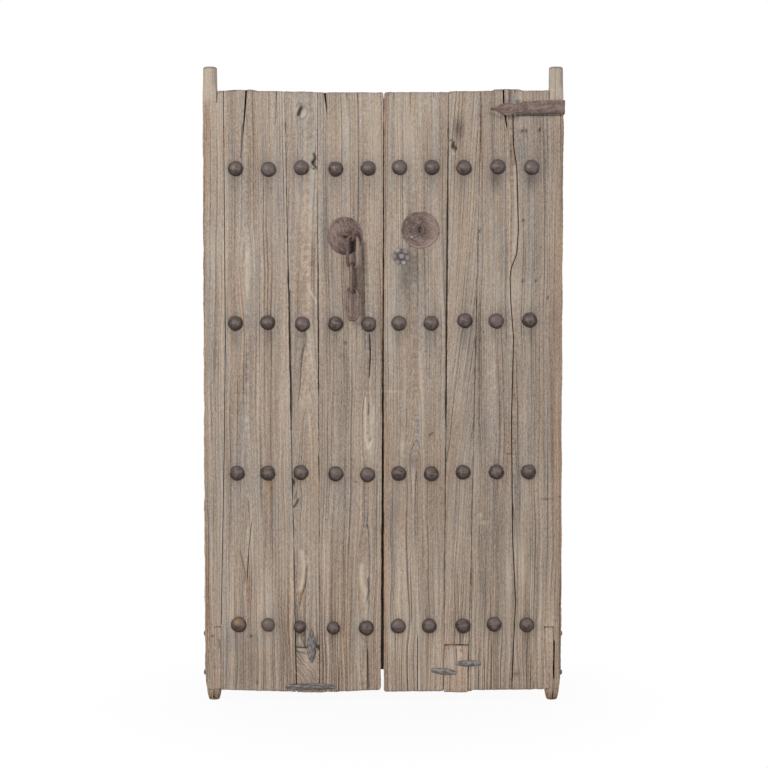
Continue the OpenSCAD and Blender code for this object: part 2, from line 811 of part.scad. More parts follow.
// Cramp, thick in its middle: a lens whose points are cut off blunt at its two ends
module cramp(size, cut) {
    lens = size[0] + cut[0] + cut[1];
    arc = (lens * lens + size[1] * size[1]) / (4 * size[1]);
    rise = cramp_t - cramp_end_t;
    bow = (size[0] * size[0] / 4 + rise * rise) / (2 * rise);
    color("#78726e") {
        intersection() {
            rotate([90, 0, 0]) linear_extrude(cramp_t) intersection() {
                intersection_for(s = [-1, 1])
                    translate([(cut[1] - cut[0]) / 2, s * (arc - size[1] / 2)]) circle(arc, $fn = 360);
                square([size[0], 2 * size[1]], center = true);
            }
            translate([0, bow - cramp_t, -size[1]]) cylinder(r = bow, h = 2 * size[1], $fn = 720);
        }
        prongs(size, 0);
    }
}

module at_left_patch_cramp()
    translate([-left_patch_cramp_x, face_y, left_patch_z + left_patch_cramp_rise]) rotate([0, -90, 0])
        children();

module at_left_sill_cramp() translate([-left_sill_cramp_x, face_y, left_sill_cramp_z]) children();
module at_right_upper_cramp() translate([right_upper_cramp_x, face_y, right_upper_cramp_z]) children();

module at_right_lower_cramp()
    translate([right_lower_cramp_x, face_y, right_lower_cramp_z]) rotate([0, lower_cramp_slope, 0])
        children();

module left_patch_cramp() at_left_patch_cramp() cramp(left_patch_cramp_size, left_patch_cramp_cut);
module left_sill_cramp() at_left_sill_cramp() cramp(left_sill_cramp_size, left_sill_cramp_cut);
module right_upper_cramp() at_right_upper_cramp() cramp(right_cramp_size, right_cramp_cut);
module right_lower_cramp() at_right_lower_cramp() cramp(right_cramp_size, right_cramp_cut);

// Nails driven from the outer edge through the splice
module side_nail_shanks(side, room)
    for (z = side_nail_z)
        rod([side * (leaf_w + over_cut), side_nail_y, foot_shoulder + z],
            [side * (leaf_w - nail_l - room), side_nail_y, foot_shoulder + z], nail_d + 2 * room);

module side_nails(side)
    color("#5c5652") {
        for (z = side_nail_z)
            translate([side * leaf_w, side_nail_y, foot_shoulder + z]) rotate([0, side * 90, 0])
                dome(side_nail_d, side_nail_h);
        side_nail_shanks(side, 0);
    }

module left_side_nails() side_nails(left);
module right_side_nails() side_nails(right);

// Strip on the back of the right leaf that laps behind the left one
module meeting_strip() {
    strip_y = back_y + strip_t;
    color("#94867a") difference() {
        translate([0, 0, strip_low]) linear_extrude(strip_high - strip_low) polygon([
            [-strip_lap, back_y + strip_relief], [right_meet[1], back_y + strip_relief],
            [right_meet[1], back_y], [strip_seat, back_y], [strip_seat, strip_y - strip_chamfer],
            [strip_seat - strip_chamfer, strip_y], [strip_chamfer - strip_lap, strip_y],
            [-strip_lap, strip_y - strip_chamfer]]);
        strip_nail_shanks(fit_gap);
    }
}

module strip_nail_shanks(room)
    for (z = strip_nail_z)
        bar_in(strip_nail_x, z, nail_d + 2 * room, back_y - strip_nail_l - room,
            back_y + strip_t + over_cut);

module strip_nails()
    color("#5c5652") {
        for (z = strip_nail_z)
            back_dome(strip_nail_x, back_y + strip_t, z, strip_nail_d, nail_h);
        strip_nail_shanks(0);
    }

left_outer_board();
left_middle_board();
left_inner_board();
left_patch();
left_splice();
left_batten_1();
left_batten_2();
left_batten_3();
left_batten_4();
left_studs();
left_boss_plate();
left_staple();
left_patch_cramp();
left_sill_cramp();
left_side_nails();
chain_upper_link();
chain_middle_link();
chain_end_link();
right_outer_board();
right_middle_board();
right_inner_board();
right_patch();
right_splice();
right_batten_1();
right_batten_2();
right_batten_3();
right_batten_4();
right_studs();
right_boss_plate();
right_boss_nail();
right_staple();
rosette();
rosette_nail();
strap();
strap_nails();
right_upper_cramp();
right_lower_cramp();
right_side_nails();
meeting_strip();
strip_nails();
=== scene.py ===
import math

import bpy
import numpy as np
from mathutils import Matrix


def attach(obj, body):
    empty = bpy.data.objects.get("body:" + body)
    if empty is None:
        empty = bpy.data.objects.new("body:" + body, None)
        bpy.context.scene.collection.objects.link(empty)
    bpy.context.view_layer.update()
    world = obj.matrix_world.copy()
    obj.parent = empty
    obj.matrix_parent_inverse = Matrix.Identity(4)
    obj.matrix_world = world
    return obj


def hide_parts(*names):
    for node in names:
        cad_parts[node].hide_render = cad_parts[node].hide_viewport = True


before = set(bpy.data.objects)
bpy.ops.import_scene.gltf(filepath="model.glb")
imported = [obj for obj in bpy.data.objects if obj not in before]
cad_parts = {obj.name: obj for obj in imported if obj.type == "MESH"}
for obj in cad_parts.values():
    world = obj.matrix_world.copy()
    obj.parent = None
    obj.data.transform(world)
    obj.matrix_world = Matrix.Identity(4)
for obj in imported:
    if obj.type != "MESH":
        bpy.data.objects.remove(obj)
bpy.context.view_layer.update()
print("frame loaded:", len(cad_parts), "nodes")

# the door's own measures, in mm: X runs from the meeting line, the front looks to -Y
door = dict(face=-24.0, back=24.0, lip=-2.0, edge=566.0, pivot=542.5, foot=33.0, head=1923.0,
            lap=12.0, fit=0.3)


# sum of a few slanted sine waves with fixed phases: a smooth field of about -1 to 1
def ripple(u, v, seed, waves=7):
    draw = np.random.default_rng(seed)
    turn, pace, start = draw.uniform(0, 2 * np.pi, (3, waves))
    pace = 0.5 + pace / (2 * np.pi) * 1.3
    total = 0.0
    for t, p, s in zip(turn, pace, start):
        total = total + np.sin(2 * np.pi * p * (u * np.cos(t) + v * np.sin(t)) + s)
    return total / np.sqrt(waves)


# round spot: falls off as a bell from its middle, with its own reach in each direction
def spot(x, z, atX, atZ, reachX, reachZ):
    return np.exp(-((x - atX) / reachX) ** 2 - ((z - atZ) / reachZ) ** 2)


# soft line through a list of points: a bell of the distance to the nearest piece of it
def stroke(x, z, path, reach):
    best = np.full(np.shape(x), 1e9)
    for (ax, az), (bx, bz) in zip(path[:-1], path[1:]):
        span = (bx - ax) ** 2 + (bz - az) ** 2
        t = np.clip(((x - ax) * (bx - ax) + (z - az) * (bz - az)) / span, 0, 1)
        best = np.minimum(best, np.hypot(x - ax - t * (bx - ax), z - az - t * (bz - az)))
    return np.exp(-(best / reach) ** 2)


# straight blend of the values in a table of (height, value) pairs
def table(z, pairs):
    pairs = sorted(pairs)
    return np.interp(z, [p[0] for p in pairs], [p[1] for p in pairs])


# eased step from 0 to 1, flat at both ends
def smooth(t):
    t = np.clip(t, 0, 1)
    return t * t * (3 - 2 * t)


# closed rings of points, one after the other, joined to a skin: rows of quads and two end faces
def skinOf(loops, fields=None, wrap=False):
    rows, count = loops.shape[:2]
    i, j = np.meshgrid(np.arange(rows if wrap else rows - 1), np.arange(count), indexing="ij")
    n, m = (i + 1) % rows, (j + 1) % count
    quads = np.stack([i * count + j, i * count + m, n * count + m, n * count + j], -1).reshape(-1, 4)
    points = loops.reshape(-1, 3)
    ends = [] if wrap else [np.arange(count)[::-1], np.arange(count) + (rows - 1) * count]
    a, b, c, d = (points[quads[:, k]] for k in range(4))
    bulk = np.einsum("ij,ij->i", a, np.cross(b, c) + np.cross(c, d)).sum()
    for e in ends:
        hub = points[e[0]]
        bulk += (np.cross(points[e[1:-1]], points[e[2:]]) @ hub).sum()
    if bulk < 0:  # the skin was inside out
        quads, ends = quads[:, ::-1], [e[::-1] for e in ends]
    fields = {k: np.broadcast_to(v, (rows, count)).reshape(-1) for k, v in (fields or {}).items()}
    return dict(points=points, quads=quads, ends=ends, fields=fields)


# one object from several skins, at the origin, riding on its body and standing for its CAD nodes
def makePiece(name, skins, finish, body, nodes, crease=38):
    start, points, faces = 0, [], []
    for s in skins:
        points.append(s["points"])
        faces += (s["quads"] + start).tolist() + [(e + start).tolist() for e in s["ends"]]
        start += len(s["points"])
    mesh = bpy.data.meshes.new(name)
    mesh.from_pydata((np.concatenate(points) / 1000).tolist(), [], faces)
    for key in sorted({k for s in skins for k in s["fields"]}):
        layer = mesh.attributes.new(key, "FLOAT", "POINT")
        values = [s["fields"].get(key, np.zeros(len(s["points"]))) for s in skins]
        layer.data.foreach_set("value", np.concatenate(values).astype(np.float32))
    mesh.update()
    mesh.shade_smooth()
    mesh.set_sharp_from_angle(angle=math.radians(crease))
    piece = bpy.data.objects.new(name, mesh)
    bpy.context.scene.collection.objects.link(piece)
    mesh.materials.append(finish)
    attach(piece, body)
    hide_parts(*nodes)
    return piece


# round bar along a path: each ring stands across the path, in the plane of side and up
def tubeAlong(path, radius, around=14, across=None, wrap=False, fields=None):
    if wrap:
        way = np.roll(path, -1, 0) - np.roll(path, 1, 0)
    else:
        way = np.gradient(path, axis=0)
    way /= np.linalg.norm(way, axis=1, keepdims=True)
    side = np.broadcast_to(across, path.shape)
    side = side - way * np.einsum("ij,ij->i", side, way)[:, None]
    side /= np.linalg.norm(side, axis=1, keepdims=True)
    up = np.cross(way, side)
    turn = np.linspace(0, 2 * np.pi, around, endpoint=False)
    size = np.broadcast_to(radius, (len(path), around))[..., None]
    loops = path[:, None] + size * (np.cos(turn)[None, :, None] * side[:, None]
                                    + np.sin(turn)[None, :, None] * up[:, None])
    return skinOf(loops, fields, wrap)


class Flow:  # a shader socket that takes part in sums, so that 1 - mask adds a Math node
    def __init__(self, finish, socket):
        self.finish, self.socket = finish, socket

    def pair(self, operation, first, second):
        return self.finish.node("ShaderNodeMath", {"operation": operation}, [first, second])

    def __add__(self, other):
        return self.pair("ADD", self, other)

    def __radd__(self, other):
        return self.pair("ADD", other, self)

    def __sub__(self, other):
        return self.pair("SUBTRACT", self, other)

    def __rsub__(self, other):
        return self.pair("SUBTRACT", other, self)

    def __mul__(self, other):
        return self.pair("MULTIPLY", self, other)

    def __rmul__(self, other):
        return self.pair("MULTIPLY", other, self)


class Finish:  # one material: its node method, and the few patterns that the door needs
    def __init__(self, name, world=None):  # the world has nodes too
        self.material = world or bpy.data.materials.new(name)
        self.material.use_nodes = True
        self.tree = self.material.node_tree
        self.tree.nodes.clear()

    def node(self, kind, settings=None, inputs=None, output=0):
        made = self.tree.nodes.new(kind)
        for key, value in (settings or {}).items():
            if key == "stops":
                ramp = made.color_ramp.elements
                for n, (at, colour) in enumerate(value):
                    stop = ramp[n] if n < 2 else ramp.new(at)
                    stop.position, stop.color = at, colour
            else:
                setattr(made, key, value)
        for key, value in inputs.items() if isinstance(inputs, dict) else enumerate(inputs or []):
            if isinstance(value, Flow):
                self.tree.links.new(value.socket, made.inputs[key])
            else:
                made.inputs[key].default_value = value
        return Flow(self, made.outputs[output]) if made.outputs else None

    def field(self, name):
        return self.node("ShaderNodeAttribute", {"attribute_name": name}, None, 2)

    def place(self):
        where = self.node("ShaderNodeTexCoord", None, None, 3)
        return [self.node("ShaderNodeSeparateXYZ", None, [where], k) for k in range(3)]

    def vector(self, x, y, z):
        return self.node("ShaderNodeCombineXYZ", None, [x, y, z])

    def noise(self, x, y, z, detail=2.0, rough=0.55):
        return self.node("ShaderNodeTexNoise", None, {
            "Vector": self.vector(x, y, z), "Scale": 1.0, "Detail": detail, "Roughness": rough})

    def step(self, value, low, high):
        return self.node("ShaderNodeMapRange", {"interpolation_type": "SMOOTHSTEP"}, {
            "Value": value, "From Min": low, "From Max": high})

    def tint(self, share, low, high, kind="MIX"):
        return self.node("ShaderNodeMix", {"data_type": "RGBA", "blend_type": kind}, {
            0: share, 6: low, 7: high}, 2)

    def inView(self):  # 1 for rays from the camera, a mirror or a pane, 0 for those that light the scene
        seen = [self.node("ShaderNodeLightPath", None, None, k) for k in (0, 3, 6)]
        return self.node("ShaderNodeMath", {"operation": "MINIMUM"}, [seen[0] + seen[1] + seen[2], 1.0])

    def surface(self, colour, roughness, height, depth, metallic=0.0, gloss=0.5):
        normal = self.node("ShaderNodeBump", None, {
            "Strength": 1.0, "Distance": depth, "Height": height})
        shader = self.node("ShaderNodeBsdfPrincipled", None, {
            "Base Color": colour, "Roughness": roughness, "Metallic": metallic,
            "Specular IOR Level": gloss, "Normal": normal})
        self.node("ShaderNodeOutputMaterial", None, {"Surface": shader})
        return self.material


# colour as it is seen, 0 to 255, to the linear values that nodes take
def shade(r, g, b):
    c = np.array([r, g, b]) / 255
    lin = np.where(c <= 0.04045, c / 12.92, ((c + 0.055) / 1.055) ** 2.4)
    return (*lin.tolist(), 1.0)


# weathered grain: noises stretched along the ring field, from hairlines to broad bands, add up to one
# value that a ramp turns from dark to pale; dark threads, tan and cool streaks and the boards' own tints
# lie on it; the dark tint also carries painted shade: black in cracks and pockets, painted shadows of chain and
# strap
def woodFinish(name, look):
    f = Finish(name)
    ring, seed, along, apart = (f.field(k) for k in ("ring", "seed", "along", "apart"))
    x, y, z = f.place()
    close, wide = seed + apart * 0.3, seed + apart * 0.9  # fine lines nearly mirror at a heart, broad ones not

    def lines(key, layer, detail=2.0, rough=0.55):  # noise as wide as the look says, drawn out along the board
        return f.noise(ring * (1 / look[key]), layer, along * look[key + "Run"], detail, rough)
    hair = lines("hair", close, 3.0, 0.65)
    thread = f.step(lines("thread", close + 9.0, 2.0, 0.6), 0.42, 0.33)
    mid, broad, fleck = lines("mid", wide + 3.0), lines("broad", wide + 5.0), lines("fleck", close + 7.0)
    grit = f.noise(x * 420.0, y * 420.0, z * 170.0)
    cloud = f.noise(x * 6.0, y * 6.0, z * 2.6, 3.0)
    parts = dict(hairPart=hair, midPart=mid, broadPart=broad, fleckPart=fleck, cloudPart=cloud, gritPart=grit)
    value = sum(part * look[key] for key, part in parts.items())
    value = value - thread * look["threadPart"] + f.field("tone")
    value = value + (0.56 - sum(look[key] for key in parts) / 2)
    gape = f.step(z, *look["gape"])  # weather opens the grain towards the foot
    value = value + (hair - 0.5) * gape * look["gapePart"] + (mid - 0.5) * gape * look["gapePart"] * 0.6
    colour = f.node("ShaderNodeValToRGB", {"stops": look["stops"]}, [value])
    hue = lines("streak", wide + 12.0)
    colour = f.tint(f.step(hue, 0.48, 0.70) * look["tanPart"], colour, look["tan"], "MULTIPLY")
    colour = f.tint(f.step(hue, 0.52, 0.30) * look["coolPart"], colour, look["cool"], "MULTIPLY")
    colour = f.tint(f.field("warm") + gape * 0.15, colour, look["rust"], "MULTIPLY")
    colour = f.tint(f.field("blue"), colour, look["blue"], "MULTIPLY")
    colour = f.tint(f.field("cream"), colour, look["cream"])
    colour = f.tint(f.field("dark"), colour, look["black"])
    height = hair * 0.6 + mid * 0.4 + fleck * 0.3 - thread * 0.5
    rough = f.step(cloud, 0.2, 0.8) * 0.1 + 0.8
    return f.surface(colour, rough, height, look["depth"], 0.0, 0.25)


# forged iron: blotches of two sizes between a dark and a lighter brown, rust laid on by a field, wear and
# painted highlights by another, painted shade and some soot by a third
def ironFinish(name, look):
    f = Finish(name)
    x, y, z = f.place()
    tone, rust, worn = f.field("tone"), f.field("rust"), f.field("worn")
    blotch = f.noise(x * look["blotch"], y * look["blotch"], z * look["blotch"], 4.0, 0.6)
    speck = f.noise(x * 330.0, y * 330.0, z * 330.0, 3.0, 0.65)
    pits = f.noise(x * 700.0, y * 700.0, z * 700.0, 1.0)
    colour = f.tint(f.step(blotch + tone * 0.4, 0.25, 0.75), look["dark"], look["light"])
    colour = f.tint(f.step(speck, 0.52, 0.72) * 0.45, colour, look["dust"])
    colour = f.tint(f.step(pits, 0.58, 0.75) * 0.4, colour, look["dark"])
    orange = f.step(speck * 0.5 + blotch * 0.5 + rust, 0.62, 0.95)
    colour = f.tint(orange, colour, look["rust"])
    colour = f.tint(worn, colour, look["worn"])
    colour = f.tint(f.field("soot"), colour, look["soot"])
    rough = f.step(blotch, 0.3, 0.75) * 0.2 + look["rough"] + orange * 0.15
    metal = (1 - orange) * look["metal"]
    height = blotch * 1.2 + speck * 0.5 - f.step(pits, 0.55, 0.75) * 0.4
    return f.surface(colour, rough, height, look["depth"], metal, 0.4)


woodLook = dict(
    hair=2.8, thread=3.4, mid=9.0, broad=42.0, fleck=2.0, streak=6.0, depth=0.0012, gape=(0.65, 0.12),
    hairRun=1.8, threadRun=1.2, midRun=1.9, broadRun=1.2, fleckRun=80.0, streakRun=2.0,
    hairPart=0.75, threadPart=0.28, midPart=0.15, broadPart=0.42, fleckPart=0.65, cloudPart=0.35, gritPart=0.7,
    gapePart=0.9,
    stops=[(0.12, shade(94, 81, 72.5)), (0.42, shade(148.5, 133.8, 121.5)), (0.58, shade(168, 152.4, 138)),
           (0.9, shade(203, 189, 174.5))],
    tanPart=0.6, coolPart=0.6, tan=(1.0, 0.83, 0.65, 1.0), cool=(0.80, 0.90, 1.0, 1.0),
    rust=(1.0, 0.74, 0.52, 1.0), blue=(0.6, 0.73, 0.9, 1.0), cream=shade(212, 199, 181),
    black=shade(22, 17, 14))
patchLook = dict(
    woodLook, hair=2.3, mid=5.0, broad=13.0, streak=4.0, midPart=0.35, fleckPart=1.0,
    stops=[(0.12, shade(100, 86, 77)), (0.42, shade(158, 141, 128)), (0.58, shade(177, 159, 144)),
           (0.9, shade(206, 191, 176))])
backLook = dict(
    woodLook, stops=[(0.12, shade(84, 71, 62)), (0.42, shade(132, 117, 106)), (0.58, shade(150, 134, 121)),
                     (0.9, shade(180, 165, 150))])
studLook = dict(
    blotch=75.0, rough=0.38, metal=0.3, depth=0.0005, dark=shade(54, 43, 38), light=shade(106, 92, 88),
    dust=shade(118, 106, 101), rust=shade(106, 80, 62), worn=shade(150, 112, 70), soot=shade(34, 27, 24))
rustyLook = dict(
    blotch=115.0, rough=0.58, metal=0.2, depth=0.0008, dark=shade(90, 74, 69), light=shade(144, 123, 115),
    dust=shade(146, 129, 124), rust=shade(126, 90, 72), worn=shade(165, 142, 131), soot=shade(36, 27, 23))
forgedLook = dict(
    blotch=80.0, rough=0.52, metal=0.35, depth=0.0005, dark=shade(92, 87, 85), light=shade(142, 137, 135),
    dust=shade(150, 142, 139), rust=shade(122, 96, 78), worn=shade(192, 183, 180), soot=shade(40, 33, 30))
weatheredWood = woodFinish("weathered_wood", woodLook)
patchWood = woodFinish("patch_wood", patchLook)
backWood = woodFinish("back_wood", backLook)
studIron = ironFinish("stud_iron", studLook)
rustyIron = ironFinish("rusty_iron", rustyLook)
forgedIron = ironFinish("forged_iron", forgedLook)
print("finishes ready")


# distance from the meeting line of a slanting line, given at the foot and at the head
def lineAt(line, z):
    return line[0] + (line[1] - line[0]) * (z - door["foot"]) / (door["head"] - door["foot"])


# growth rings on a sawn face: the distance to a heart line, whose place and depth under the face
# change along the board, so that arches close where it dips; knots press the rings aside;
# the second value tells the two sides of the heart apart, -1 to 1
def ringField(x, z, grain):
    sway = grain.get("sway", 3) * ripple(x / 420, z / 900, grain["seed"])
    foot = 1 + 1.6 * smooth((600 - z) / 500)  # the lines wander more towards the foot
    sway = sway + grain.get("wave", 1.0) * foot * ripple(x / 55, z / 330, grain["seed"] + 1)
    u = x + sway + grain.get("lean", 0) * (z - 1000) / 1000
    for kx, kz, size, push in grain.get("knots", []):
        u = u - push * (u - kx) * np.exp(-((u - kx) / size) ** 2 - ((z - kz) / (2.6 * size)) ** 2)
    if "heart" not in grain:
        return u, np.zeros(np.shape(u))
    at = table(z, [(h[0], h[1]) for h in grain["heart"]])
    dip = table(z, [(h[0], h[2]) for h in grain["heart"]])
    return np.sqrt((u - at) ** 2 + dip ** 2) + 0.04 * u, np.tanh((u - at) / 7)


# tints laid on a face: each list holds strokes or spots with a reach and a strength
def tintFields(x, z, marks):
    fields = {}
    for key in ("dark", "cream", "warm", "blue"):
        total = np.zeros(np.shape(x))
        for m in marks.get(key, []):
            if len(m) == 5:  # spot: place, two reaches, strength
                one = m[4] * spot(x, z, m[0], m[1], m[2], m[3])
            else:  # stroke: path, reach, strength
                one = m[2] * stroke(x, z, m[0], m[1])
            total = total + one * (1 - total)
        fields[key] = np.clip(total, 0, 1)
    return fields


# crack that opens at its upper end: its half width and depth over the height
def crackAlong(path, width, depth, fadeTop=0.0, fadeFoot=120.0, black=1.0, span=None):
    foot, top = span or (min(p[0] for p in path), max(p[0] for p in path))

    def reach(z):
        up = smooth((z - foot) / fadeFoot)
        down = 1.0 if fadeTop == 0 else smooth((top - z) / fadeTop)
        return up * down * (z >= foot) * (z <= top + 30)
    return dict(path=path, black=black, half=lambda z: 0.15 + width / 2 * reach(z),
                depth=lambda z: depth * reach(z))


# front of a board in columns, from its near arris to its far one: even steps between the cracks,
# and three columns down in each crack; with their depth and their blackness, which is painted shade that grows
# with the depth
def frontColumns(z, b, start, stop):
    cracks = b.get("cracks", [])
    if "recess" in b:
        cracks = cracks + [crackAlong(b["recess"][k], 0.3, 0.0) for k in ("near", "far")]
    lines = [(start, None)] + [(table(z, crack["path"]), crack) for crack in cracks] + [(stop, None)]
    columns, depths, blacks = [], [], []
    for (a, crackA), (c, crackC) in zip(lines[:-1], lines[1:]):
        halfA = 0 if crackA is None else crackA["half"](z)
        halfC = 0 if crackC is None else crackC["half"](z)
        for t in np.linspace(0, 1, max(3, int(np.mean(c - a) / boardLook["column"]))):
            columns.append((a + halfA) * (1 - t) + (c - halfC) * t)
            depths.append(np.zeros(len(z)))
            blacks.append(np.zeros(len(z)))
        if crackC is not None:
            for t, share in ((-0.5, 0.8), (0.0, 1.0), (0.5, 0.8)):
                columns.append(c + t * halfC)
                depths.append(share * crackC["depth"](z))
                blacks.append(np.clip(crackC["depth"](z) / 3.0, 0, 1) * crackC["black"])
    return (np.array(v).T for v in (columns, depths, blacks))


boardLook = dict(pace=6.0, column=2.3, backColumn=9.0, tip=4.0, tipRows=[0.5, 1.3, 2.6, 4.2],
                 arris=2.2, arrisWave=0.9, backArris=1.5, wob=0.45, step=-12.0, rebate=11.0,
                 endFade=70.0, endDarkening=0.33, jointDirt=0.75)
# dovetailed groove across the back, for a batten: its half height, and the rows of points at its brinks
groove = dict(half=33.2, brink=(33.3, 33.8), rows=(33.1, 33.5), floor=12.0, flare=3.6)


# a board: at each height a closed section - worn arris, front with its cracks, lap step, back -
# carried from foot to head, with its ends worn down and rounded
def boardSkin(b):
    side, low, high, grain = b["side"], b["low"], b["high"], b["grain"]
    seed, tipRows = grain["seed"], np.array(boardLook["tipRows"])
    steps = [step for step in b.get("steps", []) if low < step < high]
    rows = np.linspace(low, high, int((high - low) / b.get("pace", boardLook["pace"])) + 2)
    z = np.unique(np.round(np.concatenate([rows, low + tipRows, high - tipRows, steps]), 3))
    tipLow, tipHigh = z - low, high - z
    tip, over = np.minimum(tipLow, tipHigh), boardLook["tip"]
    rounding = np.where(tip < over, over - np.sqrt(np.maximum(over ** 2 - (over - tip) ** 2, 0)), 0)

    def wob(k, amount):
        return amount * (ripple(z / 90, k, seed + 3) + 0.6 * ripple(z / 23, k, seed + 4))
    near, far = lineAt(b["near"], z), lineAt(b["far"], z)
    nearF = near + table(z, b["nearGap"]) + wob(0.3, boardLook["wob"])
    farF = far - table(z, b["farGap"]) + wob(0.7, b.get("farWob", boardLook["wob"]))
    nearB = near + (door["lap"] + door["fit"]) if b["nearLap"] else nearF + 0.4
    farB = far + door["lap"] if b["farLap"] else farF - 0.4
    wear = boardLook["arris"] + boardLook["arrisWave"] * ripple(z / 120, 0.5, seed + 5)
    wearN, wearF = np.clip(wear, 1, 5) * b.get("wearN", 1), np.clip(wear[::-1], 1, 5) * b.get("wearF", 1)

    front, cut, black = frontColumns(z, b, nearF + wearN, farF - wearF)
    zz = np.broadcast_to(z[:, None], front.shape)
    ringF, split = ringField(side * front, zz, grain)
    relief = 0.35 * ripple(ringF / 9, zz / 700, seed + 6) + 0.5 * ripple(front / 60, zz / 240, seed + 7)
    for x0, z0, reachX, reachZ, deep in b.get("hollows", []):
        relief = relief + deep * spot(side * front, zz, x0, z0, reachX, reachZ)
    yF = door["face"] + np.maximum(relief + 0.3, -0.4) + cut
    tints = tintFields(side * front, zz, b["marks"])
    if "recess" in b:  # the pocket of the splice beside the foot pivot
        pocket = b["recess"]
        inside = (front > table(zz, pocket["near"])) & (front < table(zz, pocket["far"])) & (zz < pocket["top"])
        yF = np.where(inside, door["face"] + pocket["deep"], yF)
        # painted shade: the pocket is black inside
        black = np.where(inside, 1.0, black)
    tints["dark"] = np.maximum(black, tints["dark"])

    def bent(a, edge, way):  # quarter round from the side of the board to its face
        turn = np.radians([12, 38, 64])
        y = yF[:, :1] if way > 0 else yF[:, -1:]
        return edge[:, None] + way * a[:, None] * (1 - np.cos(turn)), y + a[:, None] * (1 - np.sin(turn))
    nd, ny = bent(wearN, nearF, 1)
    fd, fy = (v[:, ::-1] for v in bent(wearF, farF, -1))
    lip, back, step, rebate = door["lip"], door["back"], boardLook["step"], boardLook["rebate"]
    arris = back - boardLook["backArris"]

    def sideRun(fore, behind, lap):  # from the face to the back, with a step at the lap
        return [(fore, step), (fore, lip)] + [(behind, lip + 0.01)] * lap + [(behind, rebate), (behind, arris)]
    farSide, nearSide = sideRun(farF, farB, b["farLap"]), sideRun(nearF, nearB, b["nearLap"])[::-1]
    farD, nearD = (np.stack([p for p, q in way], -1) for way in (farSide, nearSide))
    farY, nearY = (np.tile([q for p, q in way], (len(z), 1)) for way in (farSide, nearSide))
    backCount = max(6, int(np.mean(farB - nearB) / boardLook["backColumn"]))
    backD = np.linspace(farB - 2.2, nearB + 2.2, backCount).T
    backY = back - 0.6 - 0.5 * ripple(backD / 45, zz[:, :1] / 160, seed + 9)
    d = np.hstack([nd, front, fd, farD, backD, nearD])
    y = np.hstack([ny, yF, fy, farY, backY, nearY])
    first, last = nd.shape[1], nd.shape[1] + front.shape[1]
    sideAt = last + fd.shape[1]
    backAt = slice(sideAt + len(farSide), d.shape[1] - len(nearSide))

    zAll = np.broadcast_to(z[:, None], d.shape).copy()
    for middle in b.get("grooves", []):
        off, floor = np.abs(z - middle), groove["floor"]
        brink = (off > groove["brink"][0]) & (off < groove["brink"][1])
        slant = groove["flare"] * np.clip((y - floor) / (back - floor), 0, 1)
        zAll -= np.where(brink, np.sign(z - middle), 0)[:, None] * slant
        y = np.where((off < groove["half"])[:, None] & (y > floor), floor, y)
    # ends: drawn to their worn lines, which fade out along the board
    lowRise = b["lowRise"](d) + 0.6 * ripple(d / 40, 0.1, seed + 11) + 0.25 * ripple(d / 9, y / 9, seed + 12)
    highRise = b["highRise"](d) + 0.6 * ripple(d / 40, 0.6, seed + 13) + 0.25 * ripple(d / 9, y / 9, seed + 14)
    for a, c, up in b.get("crest", []):
        highRise = highRise + up * smooth((d - a) / 4) * smooth((c - d) / 4)
    if "stile" in b:  # here the head pivot goes on upwards
        highRise = np.where(d > b["stile"], -33.0, highRise)
    zAll += lowRise * np.clip(1 - tipLow / boardLook["endFade"], 0, 1)[:, None] ** 2
    zAll += highRise * np.clip(1 - tipHigh / boardLook["endFade"], 0, 1)[:, None] ** 2
    y = np.where(y < 0, np.minimum(y + rounding[:, None], -1), np.maximum(y - rounding[:, None], 1))

    # the grain goes on round the arrises and over the sides; the back has its own
    ring = np.hstack([ringF[:, :1] - (ny - yF[:, :1]), ringF, ringF[:, -1:] + (y[:, last:] - door["face"])])
    ring[:, backAt] = 1.1 * backD + 7 * ripple(backD / 70, zz[:, :1] / 420, seed + 8)
    ring[:, backAt.stop:] = ringF[:, :1] - (y[:, backAt.stop:] - door["face"])
    apart = np.empty(d.shape)  # tells the two sides of a heart apart
    apart[:, :first], apart[:, first:last], apart[:, last:] = split[:, :1], split, split[:, -1:]
    apart[:, backAt], apart[:, backAt.stop:] = 20.0, split[:, :1]
    tone = b.get("tone", 0.0) + 0.05 * smooth((zAll - 1730) / 160)  # paler towards the head
    tone[:, backAt] += b.get("backTone", 0.0)
    fields = {"ring": ring, "seed": float(seed), "apart": apart, "tone": tone, "along": zAll / 1000}
    for key, amount in tints.items():
        fields[key] = np.zeros(d.shape)
        fields[key][:, :first], fields[key][:, first:last] = amount[:, :1], amount
        fields[key][:, last:sideAt] = amount[:, -1:]
    edge = b.get("edge", {})
    for key, rim in (("near", slice(0, first + 2)), ("far", slice(last - 2, backAt.start))):
        fields["warm"][:, rim] = np.maximum(fields["warm"][:, rim], edge.get(key, 0))
    fields["dark"][:, [backAt.start - 1, backAt.stop]] = boardLook["jointDirt"]  # as the joints show behind
    # each end darker within a few mm of it
    fields["dark"] = np.maximum(fields["dark"], boardLook["endDarkening"] * np.exp(-tip / 3.0)[:, None])
    return skinOf(np.stack([side * d, y, zAll], -1), fields)


